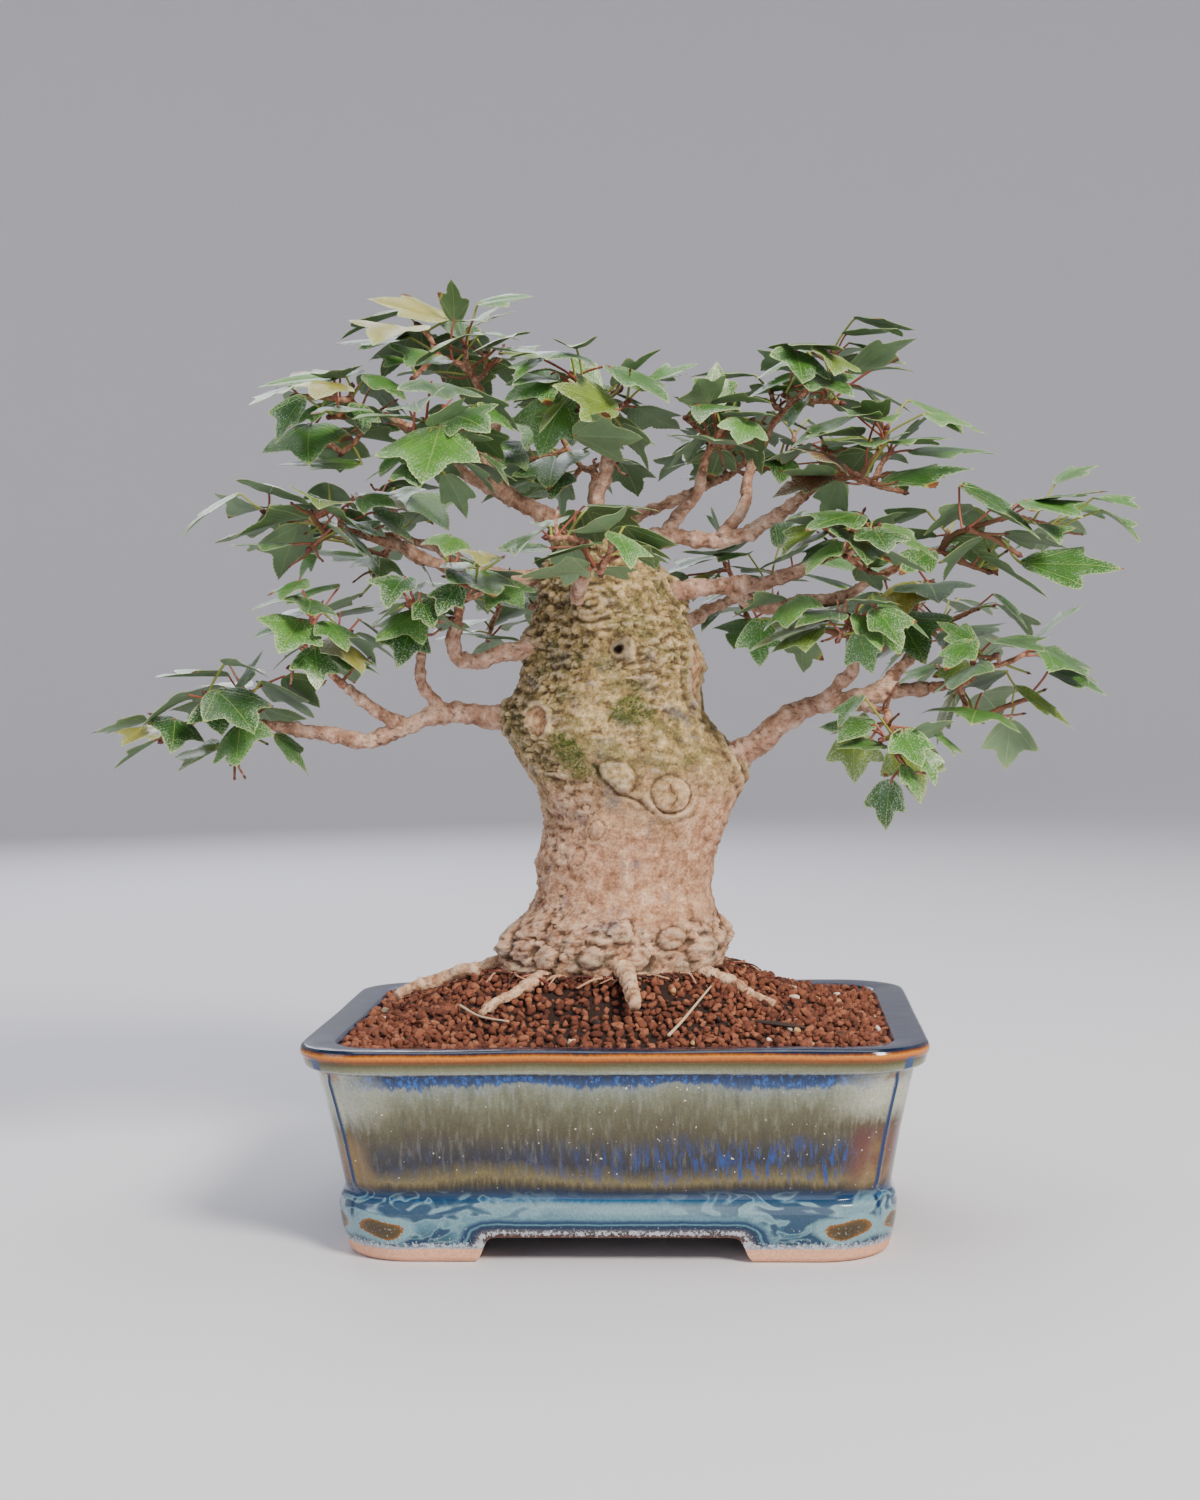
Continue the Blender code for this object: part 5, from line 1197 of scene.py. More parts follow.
def old_maple_bark():
    """Old maple bark: pinkish beige low down, olive with algae higher up, grey lichen patches,
    painted shade in its crevices and paler ridges."""
    material = new_material("old_maple_bark", "#a08a72", 0.85)
    add = partial(add_node, material.node_tree)
    place = add("TexCoord", out="Object")
    height = add("Math", add("SeparateXYZ", place, out="Z"), 1 / MM, **TIMES)
    level = add("Math", add("TexNoise", place, per_mm(30.0), 3.0), 60.0, height, **TIMES_PLUS)
    lichen = add("TexNoise", place, per_mm(12.0), 6.0, 0.75)
    algae = add("TexNoise", add("Mapping", place, (0.2, 0.1, 0.3)), per_mm(9.0), 6.0, 0.7)
    speckle = add("TexNoise", place, per_mm(0.9), 3.0, 0.7)
    grain = add("TexNoise", place, per_mm(0.6), 4.0, 0.7)
    crevice, moss, wound, hollow = (add("Attribute", out="Fac", attribute_name=name)
                                    for name in ("crevice", "moss", "wound", "hollow"))
    low = bark_patches(add, place, [(0.3, "#7a543f"), (0.42, "#a97b5c"), (0.54, "#c89d7c"),
                                    (0.68, "#e0bb9b")], 5.0)
    high = bark_patches(add, place, [(0.3, "#4a3b22"), (0.42, "#7c673d"), (0.54, "#a88e5c"),
                                     (0.68, "#d3b98a")], 4.2)
    wood = bark_patches(add, place, [(0.35, "#7a5438"), (0.5, "#b98d66"), (0.62, "#d2b58e")], 3.0)
    colour = paint(
        add, low,
        (high, (level, 160.0, 192.0)),
        ("#77717a", (lichen, 0.56, 0.66, 0.0, 0.65)),
        ("#5b5f30", (algae, 0.47, 0.62, 0.0, 0.6), (level, 160.0, 192.0)),
        ("#4c6656", (algae, 0.47, 0.62, 0.0, 0.55), (height, 103.0, 92.0)))
    colour = add("Mix", 1.0, colour, add("MapRange", speckle, 0.3, 0.7, 0.55, 1.32), **SHADE)
    colour = paint(
        add, colour,
        # Painted shade: the colour darkens where the relief lies below its surroundings, and the ridges
        # are paler.
        ("#3b281c", (crevice, 0.18, 1.0, 0.0, 0.82)),
        ("#dbc6aa", (crevice, -0.25, -1.0, 0.0, 0.4)),
        ("#46531f", (moss, 0.0, 1.0), (speckle, 0.42, 0.58)),
        (wood, (wound, 0.0, 1.0)),
        # Painted shade in the hollow knot and on part of its rim.
        ("#2a1b14", (hollow, 0.0, 1.0)))
    return link_surface(material, Base_Color=colour,
                        Normal=add("Bump", 0.85, 0.0005, inputs={"Height": grain}))


def make_trunk():
    """The trunk with its bark's relief, closed below the soil and over the sawn stub."""
    points, values = trunk_grid()
    crown = points[-1].mean(0)
    # The sawn stub: a flat face with a slight dish.
    cap = [crown + (points[-1] - crown) * share - UP * dip
           for share, dip in ((0.8, 0.1), (0.5, 0.45), (0.2, 0.6))]
    buried = points[:1] - UP * TRUNK_BURIED
    padded = {name: np.concatenate([value[0], value.ravel(), np.zeros(3 * TRUNK_SIDES + 2)])
              for name, value in values.items()}
    body = Shapes()
    body.put(*fanned_rings(np.concatenate([buried, points, cap]), buried[0].mean(0),
                           crown - UP * 0.65), **padded)
    place_piece(body.make("trunk_bark", [old_maple_bark()]), "trunk_bark", "trunk")
    return points, values["moss"]


def make_moss(points, moss):
    """Tufts of moss: short green blades that stand out of the bark."""
    rng = random.Random(19)
    moss = moss[2:-2].ravel()
    chosen = [i for i in np.flatnonzero(moss > 0.3) if rng.random() < 0.6 * moss[i] ** 2]
    body = Shapes()
    for foot in points[2:-2].reshape(-1, 3)[chosen]:
        out = unit((foot - [0, TRUNK_MIDDLE_DEPTH, 0]) * [1, 1, 0])
        way = unit(out + UP * rng.uniform(0.1, 1.0) + scatter(rng, 0.6))
        side = unit(np.cross(way, out + [0.01, 0.02, 0.0]))
        over = np.cross(way, side)
        height, width = rng.uniform(0.8, 2.4), rng.uniform(0.12, 0.22)
        ring = [foot - way * 0.3 + width * (side * math.cos(a) + over * math.sin(a))
                for a in (0.5, 2.6, 4.7)]
        body.put([*ring, foot + (way - UP * 0.2) * height],
                 np.array([(0, 1, 3), (1, 2, 3), (2, 0, 3), (0, 2, 1)]), rng.randrange(3))
    tones = [new_material(f"moss_{i}", colour, 0.8)
             for i, colour in enumerate(("#4f6a1c", "#6f8a2a", "#3a4f1a"))]
    place_piece(body.make("moss_tufts", tones, smooth=False), "trunk_bark")


def flaking_bark(name, tones, crack_shade, flake_mm):
    """Young maple bark: pinkish brown cork that flakes in small curls, with painted shade in its cracks.
    """
    material = new_material(name, tones[1][1], 0.85)
    add = partial(add_node, material.node_tree)
    place = add("TexCoord", out="Object")
    crevice = add("Attribute", out="Fac", attribute_name="crevice")
    grain = add("TexNoise", place, per_mm(0.5), 4.0, 0.7)
    colour = paint(add, bark_patches(add, place, tones, flake_mm),
                   # Painted shade darkens the bark where its relief lies low, and the ridges are paler.
                   (crack_shade, (crevice, 0.15, 1.0, 0.0, 0.7)),
                   ("#e3cdb8", (crevice, -0.3, -1.0, 0.0, 0.45)))
    colour = add("Mix", 1.0, colour, add("MapRange", grain, 0.3, 0.7, 0.65, 1.3), **SHADE)
    return link_surface(material, Base_Color=colour,
                        Normal=add("Bump", 0.7, 0.0003, inputs={"Height": grain}))


def limb_bark(node, slot, surface, spine, radii, sides, coarse, seed, flare):
    """A limb's piece, in place of its node. Its cork has flakes, cracks and old bud rings, and
    coarse is how far they stand out. The limb flares where it leaves the one below."""
    fine, widths, marks = refine(spine, radii, 0.8)
    widths = widths * (1 + flare * np.exp(-marks / max(1.0, 1.4 * radii[0])))
    around = rings_round(fine, widths, sides)
    knuckles = bud_rings(random.Random(seed), marks, (2.0, 6.0), (3.5, 9.0), (0.6, 2.0), 1.1)
    near, following = cells(around, 2.2, seed + 3.0)
    cracks = soft(0.18, 0.0, following - near) * soft(-0.3, 0.3, lumps(around, 5.0, seed + 5.0))
    relief = coarse * (2.4 * lumps(around, 5.0, seed) + 0.9 * knuckles[:, None] - 1.1 * cracks
                       + 1.3 * lumps(around, 1.3, seed + 7.0, 3))
    # How low the relief lies at each point, by which the bark paints shade.
    crevice = crevices(relief, 2, coarse * 1.3)
    ends = np.minimum(1.0, np.minimum(np.arange(len(fine)), np.arange(len(fine))[::-1]) / 2.0)
    body = Shapes()
    body.put(*tube(fine, widths[:, None] + relief * ends[:, None], sides),
             crevice=np.concatenate([crevice.ravel(), [0.0, 0.0]]))
    place_piece(body.make(node + "_bark", [surface]), slot, node)


def make_boughs():
    """Every bough with its bark, rooted in the limb that it leaves."""
    surface = flaking_bark("flaking_maple_bark", [
        (0.3, "#7a5644"), (0.42, "#9c755d"), (0.53, "#b8917a"), (0.66, "#d2b39c")], "#3d281d", 7.0)
    shapes = {}
    for i, (name, parent, thick, thin, route) in enumerate(BOUGHS):
        shapes[name] = limb_shape(route, thick, thin, 100 + i)
        sides, coarse = (30, 0.34) if thick > 6 else (22, 0.27)
        limb_bark(f"bough_{name}", "bough_bark", surface, *shapes[name], sides, coarse, 200 + i,
                  0.6 if parent == "trunk" else 0.35)
    return shapes


def make_roots():
    """Surface roots, half sunk among the granules, and the fine rootlets round the foot."""
    surface = flaking_bark("root_bark", [
        (0.3, "#8c6147"), (0.42, "#b88d6d"), (0.54, "#d4b08f"), (0.68, "#e8ceb0")], "#452a1c", 4.0)
    for i, (name, thick, thin, route) in enumerate(ROOTS):
        points = []
        for j, (x, y) in enumerate(route):
            thickness = thick + (thin - thick) * j / (len(route) - 1)
            rise = 0.0 if j else ROOT_RISE_AT_TRUNK
            points.append((x, y, soil_height(x, y) + thickness * (0.5 - ROOT_SUNK) + rise))
        spine, radii = limb_shape(points, thick, thin, 300 + i)
        limb_bark(f"root_{name}", "root_bark", surface, spine, np.array(radii) * ROOT_BARK, 26, 0.3,
                  320 + i, 0.6)
    rng = random.Random(23)
    body = Shapes()
    for _ in range(ROOTLETS):
        way = rng.uniform(0, math.tau)
        reach = rng.uniform(4, 15)
        turn = rng.uniform(-1.3, 1.3)
        start = FOOT_MIDDLE + np.array([37 * math.cos(way), 30 * math.sin(way)]) * rng.uniform(0.93, 1.08)
        run = np.array([math.cos(way + turn), math.sin(way + turn)])
        bend = np.array([-run[1], run[0]]) * rng.uniform(-0.3, 0.3)
        route = [start + reach * (run * t + bend * math.sin(t * math.pi)) for t in (0, 0.35, 0.7, 1.0)]
        spine = [(x, y, soil_height(x, y) + rise) for (x, y), rise in zip(route, (0, 0.9, 0.9, 0))]
        for _ in spine:
            rng.random()  # numbers passed over, so that the rootlets after it keep their shapes
        thick = rng.triangular(0.2, 0.95, 0.3)
        body.put(*thin_tube(spine, 1.2, thick, thick * 0.5, 6), rng.choice((0, 1, 1, 1, 2)))
    tones = [new_material(name, colour, 0.85) for name, colour in (
        ("pale_rootlets", "#b98f72"), ("brown_rootlets", "#4a2a1f"), ("red_rootlets", "#6d2f26"))]
    place_piece(body.make("rootlets", tones), "root_bark")


def make_litter():
    """What lies on the soil: a strip of bark and three dry stems."""
    body = Shapes()
    fine = smooth_route(BARK_STRIP, 1.0)
    widths = 1.5 * np.sin(np.linspace(0.25, math.pi - 0.15, len(fine))) + 0.25
    rings = rings_round(fine, widths, 10)
    middles = fine[:, None, 2]
    rings[..., 2] = middles + (rings[..., 2] - middles) * STRIP_FLATNESS
    body.put(*fanned_rings(rings, fine[0], fine[-1]))
    for thick, *route in DRY_STEMS:
        body.put(*thin_tube(route, 1.5, thick, thick * 0.6, 7), 1)
    tones = [new_material("dead_bark", "#33251f", 0.8), new_material("dry_stem", "#cdb695", 0.7)]
    place_piece(body.make("litter", tones), "granules")


def limb_segments(limbs):
    """Start, end and radius of every straight stretch of the limbs, for clearances."""
    starts, ends, radii = [], [], []
    for spine, widths in limbs:
        starts += list(spine[:-1])
        ends += list(spine[1:])
        radii += [max(pair) for pair in zip(widths, widths[1:])]
    return np.array(starts), np.array(ends), np.array(radii)


def clear_of_segments(points, segments, clearance):
    """True if all points lie outside every segment's radius and clearance."""
    starts, ends, radii = segments
    along = ends - starts
    length = np.maximum((along ** 2).sum(1), 1e-9)
    to_point = points[:, None, :] - starts[None]
    share = np.clip((to_point * along[None]).sum(2) / length, 0, 1)
    away = np.linalg.norm(to_point - share[..., None] * along[None], axis=2)
    return bool((away > radii + clearance).all())


def clear_of_trunk(points):
    """True if all points lie outside the trunk with its burrs."""
    left, right, deep = (np.interp(points[:, 2], TRUNK[:, 0], TRUNK[:, i]) for i in (1, 2, 3))
    x = (points[:, 0] - (left + right) / 2) / ((right - left) / 2 + 5.5)
    y = (points[:, 1] - TRUNK_MIDDLE_DEPTH) / (deep + 5.5)
    return bool(((x ** 2 + y ** 2 > 1) | (points[:, 2] > TRUNK[-1, 0] + 3.0)).all())


def space_shares(points, index):
    """How far points lie out in one mass's reach, and in the nearest other mass's."""
    middles, reaches = (np.array([mass[k] for mass in MASSES], float) for k in (2, 3))
    away = np.linalg.norm((points[:, None, :] - middles) / reaches, axis=2)
    return away[:, index], np.delete(away, index, axis=1).min(axis=1)


def twig_in_space(points, index):
    """True if a twig's points lie well inside its own mass's space."""
    own, other = space_shares(points, index)
    return bool((own < 1.0).all() and (own * TWIG_MARGIN < other).all())


def leaf_in_space(corners, index):
    """True if a blade lies mostly in its own mass's space."""
    own, other = space_shares(corners, index)
    middle_own, middle_other = space_shares(corners.mean(0)[None], index)
    return bool((own < BLADE_REACH).all() and (own < other * BLADE_OVERLAP).all()
                and middle_own[0] < middle_other[0])


def leaf_corners(leaf):
    """Outline of a blade from one side of its foot round to the other, in space."""
    side = np.cross(leaf["axis"], leaf["up"])
    half = ((0.0, BASE_ACROSS, 0.0), (LOBE_ALONG, 0.5, leaf["cup"]),
            (NOTCH_ALONG, NOTCH_ACROSS, 0.1 * leaf["droop"]))
    rows = [(along, -across, lift) for along, across, lift in half]
    rows += [(1.0, 0.0, leaf["droop"]), *half[::-1]]
    return np.array([leaf["foot"] + leaf["axis"] * leaf["length"] * along
                     + side * leaf["width"] * across + leaf["up"] * leaf["length"] * lift
                     for along, across, lift in rows])


def leaf_samples(leaf):
    """Points all over a blade, for tests of what it touches."""
    corners = leaf_corners(leaf)
    centre = leaf["foot"] + leaf["axis"] * leaf["length"] * 0.45
    steps = [k / SAMPLES for k in range(SAMPLES + 1)]
    return np.array([centre * (1 - s - t) + a * s + b * t
                     for a, b in zip(corners, np.roll(corners, -1, axis=0))
                     for i, s in enumerate(steps) for t in steps[:SAMPLES + 1 - i]])


def stalk_samples(leaf):
    """Points along a leaf's stalk, from a little way off its twig."""
    return np.array([leaf["root"] + (leaf["foot"] - leaf["root"]) * t
                     for t in np.linspace(0.25, 1.0, 8)])


def make_leaf(root, foot, axis, up_hint, length, width, droop, cup):
    """One leaf's facts: its stalk from root to foot, and its blade from there."""
    axis = unit(axis)
    up = unit(up_hint - axis * np.dot(up_hint, axis))
    return {"root": root, "foot": foot, "axis": axis, "up": up, "length": length,
            "width": width, "droop": droop, "cup": cup}


def fits(leaf, crown, index):
    """True if a leaf keeps to its mass's space and touches no limb, twig or other leaf."""
    corners = leaf_corners(leaf)
    if not leaf_in_space(corners, index) or not clear_of_trunk(corners):
        return False
    blade = leaf_samples(leaf)
    both = np.vstack((blade, stalk_samples(leaf)))
    if not clear_of_trunk(both) or not clear_of_segments(both, crown["limbs"], LIMB_CLEARANCE):
        return False
    if not clear_of_segments(both, crown["twigs_beside"][index], LEAF_CLEARANCE):
        return False
    if not clear_of_segments(blade, crown["own_twigs"][index], LEAF_CLEARANCE / 2):
        return False
    middle = both.mean(0)
    spread = np.linalg.norm(both - middle, axis=1).max()
    for other_middle, other_spread, other_points in crown["leaves"]:
        if np.linalg.norm(other_middle - middle) > spread + other_spread + LEAF_CLEARANCE:
            continue
        away = np.linalg.norm(both[:, None] - other_points[None], axis=2)
        if away.min() < LEAF_CLEARANCE:
            return False
    crown["leaves"].append((middle, spread, both))
    return True


def shoot_ends(rng, index, tip, count):
    """Places for the ends of shoots, spread evenly through a mass's space."""
    middle, reach = (np.array(MASSES[index][k], float) for k in (2, 3))
    chosen = [tip]
    for _ in range(count):
        best, best_away = None, -1.0
        for _ in range(40):
            place = middle + reach * unit(any_way(rng)) * rng.uniform(0.15, 0.62) - UP * reach[2] * 0.12
            if not twig_in_space(place[None], index) or not clear_of_trunk(place[None]):
                continue
            away = min(np.linalg.norm((place - other) / reach) for other in chosen)
            if away > best_away:
                best, best_away = place, away
        if best is not None:
            chosen.append(best)
    return chosen[1:]


def grow_twigs(rng, index, tip, way, thickness, targets, segments):
    """A stem from the bough's tip, and from it twigs that branch to each target."""
    start = tip + way * GAP * 1.4
    neck = start + way * 5.0
    heart = neck + (np.array(MASSES[index][2]) - neck) * 0.45
    stem = [start, neck, (neck + heart) / 2 + scatter(rng, 1), heart]
    twigs = [(stem, thickness * 0.46, TWIG_RADIUS * 1.3)]
    nodes = stem[1:]
    for target in sorted(targets, key=lambda place: np.linalg.norm(place - start)):
        near = sorted(nodes, key=lambda node: np.linalg.norm(node - target)
                      + 0.25 * np.linalg.norm(node - start))
        for node in near[:4]:
            bend = (node + target) / 2 + scatter(rng, 2)
            checks = np.array([node + (bend - node) * t for t in (0.4, 0.7, 1.0)]
                              + [bend + (target - bend) * t for t in (0.25, 0.5, 0.75, 1.0)])
            if clear_of_segments(checks, segments, LIMB_CLEARANCE + 0.5) \
                    and clear_of_trunk(checks) and twig_in_space(checks[1:], index):
                twigs.append(([node, bend, target], TWIG_RADIUS * 1.25, TWIG_RADIUS))
                nodes += [bend, target]
                break
    return twigs


def outer_leaves(index, twigs):
    """The leaves that stand out of this mass, each with its stalk from the nearest twig."""
    nodes = [line[-1] + (line[-2] - line[-1]) * share
             for line, _, _ in twigs for share in (0.3, 0.6)]
    made = []
    for mass, foot, point, wide, facing in OUTER_LEAVES:
        if mass == MASSES[index][0]:
            foot, run = np.array(foot, float), np.subtract(point, foot)
            root = min(nodes, key=lambda node: np.linalg.norm(node - foot))
            length = np.linalg.norm(run)
            made.append(make_leaf(root, foot, run, np.array(facing), length, length * wide,
                                  -0.06, -0.05))
    return made


def grow_leaves(index, twigs, crown):
    """Opposite pairs of leaves at each shoot's end, then along the shoots."""
    rng = random.Random(MASSES[index][6] * 7)
    wanted = MASSES[index][5]
    middle = np.array(MASSES[index][2], float)
    placed = [leaf for leaf in outer_leaves(index, twigs) if fits(leaf, crown, index)]
    shoots = [line for line, _, _ in twigs[1:]] or [twigs[0][0]]
    for attempt in range(wanted * TRIES):
        if len(placed) >= wanted:
            break
        line = shoots[attempt % len(shoots)]
        pair = attempt // len(shoots)
        back_along = unit(line[-2] - line[-1])
        root = line[-1] + back_along * (LEAF_JOINT_FIRST + LEAF_JOINT_STEP * (pair % LEAF_JOINTS))
        outward = unit((line[-1] - middle) * [1, 1, 0] + [1e-3, 0, 0])
        turn = math.radians((-1) ** pair * abs(rng.gauss(0, 1)) * 75.0)
        heading = np.array([outward[0] * math.cos(turn) - outward[1] * math.sin(turn),
                            outward[0] * math.sin(turn) + outward[1] * math.cos(turn), 0.0])
        stalk = rng.uniform(*STALK_LENGTHS)
        foot = root + unit(heading + UP * rng.uniform(-0.3, 1.4)) * stalk
        axis = heading + UP * rng.uniform(-0.6, 0.15)
        tilt = np.array([rng.uniform(-0.45, 0.45), rng.uniform(-0.45, 0.25), 1.0])
        length = rng.triangular(*LEAF_LENGTHS)
        leaf = make_leaf(root, foot, axis, tilt, length, length * rng.uniform(*LEAF_WIDTHS),
                         rng.uniform(-0.22, 0.03), rng.uniform(-0.16, 0.08))
        if fits(leaf, crown, index):
            placed.append(leaf)
    return placed


def grow_crown(shapes):
    """Twigs and leaves of every mass: all twigs first, so that leaves can keep clear."""
    limbs = limb_segments(shapes.values())
    all_twigs = []
    for index, (_, bough, _, _, shoots, _, seed) in enumerate(MASSES):
        rng = random.Random(seed)
        spine, radii = shapes[bough]
        tip, way = spine[-1], unit(spine[-1] - spine[-2])
        targets = shoot_ends(rng, index, tip, shoots)
        all_twigs.append(grow_twigs(rng, index, tip, way, 2 * radii[-1], targets, limbs))
    own = [limb_segments((line, [thick] * len(line)) for line, thick, _ in twigs)
           for twigs in all_twigs]
    beside = [tuple(np.concatenate([own[i][k] for i in range(len(own)) if i != index])
                    for k in range(3)) for index in range(len(own))]
    crown = {"limbs": limbs, "own_twigs": own, "twigs_beside": beside, "leaves": []}
    return crown, [(twigs, grow_leaves(index, twigs, crown)) for index, twigs in enumerate(all_twigs)]


def along_twigs(rng, lines, least):
    """A random place on a random twig, and the way that the twig runs there."""
    line = rng.choice(lines)
    step = rng.randrange(len(line) - 1)
    run = line[step + 1] - line[step]
    return line[step] + run * rng.uniform(least, 0.95), unit(run)


def fill_leaves(index, twigs, placed, crown):
    """Smaller leaves between the solid ones, from the same shoots and by the same rule."""
    rng = random.Random(MASSES[index][6] * 13)
    lines = [line for line, _, _ in twigs[1:]] or [twigs[0][0]]
    wanted = FILL_LEAVES + (FULLER_BY if MASSES[index][0] in FULLEST else 0)
    middle = np.array(MASSES[index][2], float)
    more = []
    for _ in range(FILL_TRIES):
        if len(more) >= wanted:
            break
        root, _ = along_twigs(rng, lines, 0.2)
        outward = unit((root - middle) * [1, 1, 0.4] + [1e-3, 0, 0])
        heading = unit(outward + any_way(rng, 0.8))
        foot = root + unit(heading + UP * rng.uniform(-0.2, 1.2)) * rng.uniform(5.0, 19.0)
        axis = heading + UP * rng.uniform(-0.9, 0.2)
        tilt = np.array([rng.uniform(-0.5, 0.5), rng.uniform(-0.5, 0.3), 1.0])
        length = rng.triangular(*FILL_LENGTHS)
        leaf = make_leaf(root, foot, axis, tilt, length, length * rng.uniform(*LEAF_WIDTHS),
                         rng.uniform(-0.2, 0.05), rng.uniform(-0.12, 0.1))
        if fits(leaf, crown, index):
            more.append(leaf)
    return placed + more


def fine_shoots(index, twigs, crown):
    """Thin side shoots with a bud at the end, where the leaves leave room."""
    rng = random.Random(MASSES[index][6] * 17)
    lines = [line for line, _, _ in twigs]
    found = []
    for _ in range(FINE_TRIES):
        if len(found) >= FINE_SHOOTS:
            break
        root, along = along_twigs(rng, lines, 0.3)
        way = unit(along * rng.uniform(0.2, 1.2) + any_way(rng, 0.7) + UP * 0.3)
        length = rng.uniform(5.0, 15.0)
        bend = root + way * length * 0.5 + scatter(rng, 1)
        tip = root + way * length
        samples = np.array([bend, (bend + tip) / 2, tip])
        if not twig_in_space(samples, index) or not clear_of_trunk(samples):
            continue
        if all(np.linalg.norm(samples[:, None] - points[None], axis=2).min() > 1.2
               for middle, spread, points in crown["leaves"]
               if np.linalg.norm(middle - bend) < spread + length):
            found.append(([root, bend, tip], rng.uniform(0.5, 0.75), rng.uniform(0.3, 0.45)))
    return found


def leaf_outline(rng, spread, bend):
    """Outline of a blade, foot to tip and back, with three lobes and fine uneven teeth."""
    halves = []
    for side in (1, -1):
        lobe = spread * rng.uniform(0.93, 1.07)
        path = []
        for corner, stretch in enumerate(LEAF_HALF):
            guide = []
            for i, (x, y) in enumerate(stretch):
                nudge = 0.012 * rng.uniform(-1, 1) if 0 < i < len(stretch) - 1 else 0
                wider = (lobe - 1) * math.sin(min(1.0, x / 0.6) * math.pi / 2) if corner < 2 else 0
                guide.append((x + nudge, y * (1 + wider), 0.0))
            fine = smooth_route(guide, TOOTH_STEP)[:, :2]
            path.extend(fine[1:] if path else fine)
        path = np.array(path)
        way = np.gradient(path, axis=0)
        way /= np.linalg.norm(way, axis=1)[:, None]
        out = np.stack([-way[:, 1], way[:, 0]], axis=1)
        teeth = np.array([rng.uniform(0.3, 1.0) * TOOTH_HEIGHT * (1 if i % 2 else -0.25)
                          for i in range(len(path))])
        keep = np.minimum(1, path[:, 0] / 0.12) * np.minimum(1, (1 - path[:, 0]) / 0.06)
        halves.append((path + out * (teeth * np.clip(keep, 0, 1))[:, None]) * [1, side])
    left, right = halves
    outline = np.concatenate([left, right[-2:0:-1]])
    outline[:, 1] += bend * np.sin(np.clip(outline[:, 0], 0, 1) * math.pi)
    return outline


def leaf_pattern(rng, spread, bend):
    """A flat blade: its points, triangles, each point's distance from the rim, and the rim."""
    outline = leaf_outline(rng, spread, bend)
    starts, ends = outline, np.roll(outline, -1, axis=0)
    run = ends - starts
    inside = [(x, bend * math.sin(x * math.pi)) for x in np.arange(0.03, 0.98, BLADE_STEP)]
    for j, y in enumerate(np.arange(-0.56, 0.57, BLADE_STEP * 0.87)):
        for x in np.arange(0.02 + (j % 2) * BLADE_STEP / 2, 1.0, BLADE_STEP):
            spot = (x + rng.uniform(-0.15, 0.15) * BLADE_STEP,
                    y + rng.uniform(-0.15, 0.15) * BLADE_STEP)
            if abs(spot[1] - bend * math.sin(x * math.pi)) > BLADE_STEP * 0.55:
                inside.append(spot)
    inside = np.array(inside)

    def from_rim(points):
        to = points[:, None] - starts[None]
        share = np.clip((to * run).sum(2) / np.maximum((run ** 2).sum(1), 1e-12), 0, 1)
        return np.linalg.norm(to - share[..., None] * run, axis=2).min(1)

    # A point is inside where a line from it crosses the rim an odd number of times.
    x, y = inside[:, None, 0], inside[:, None, 1]
    crossing = (starts[:, 1] > y) != (ends[:, 1] > y)
    rise = np.where(run[:, 1] == 0, 1e-9, run[:, 1])
    at = starts[:, 0] + (y - starts[:, 1]) * (run[:, 0] / rise)
    inside = inside[(crossing & (x < at)).sum(1) % 2 == 1]
    inside = inside[from_rim(inside) > BLADE_STEP * 0.42]
    flat = [Vector(point) for point in np.concatenate([outline, inside]).tolist()]
    edges = [(i, (i + 1) % len(outline)) for i in range(len(outline))]
    points, _, faces, _, _, _ = geometry.delaunay_2d_cdt(flat, edges, [], 1, 1e-6)
    points = np.array([tuple(point) for point in points])
    faces = np.array([face for face in faces if len(face) == 3])
    a, b, c = (points[faces[:, k]] for k in range(3))
    turn = (b[:, 0] - a[:, 0]) * (c[:, 1] - a[:, 1]) - (b[:, 1] - a[:, 1]) * (c[:, 0] - a[:, 0])
    faces = np.where((turn < 0)[:, None], faces[:, ::-1], faces)
    sides = np.concatenate([faces[:, pair] for pair in ([0, 1], [1, 2], [2, 0])])
    _, first, times = np.unique(np.sort(sides, axis=1), axis=0, return_index=True,
                                return_counts=True)
    return points, faces, from_rim(points), sides[first[times == 1]]


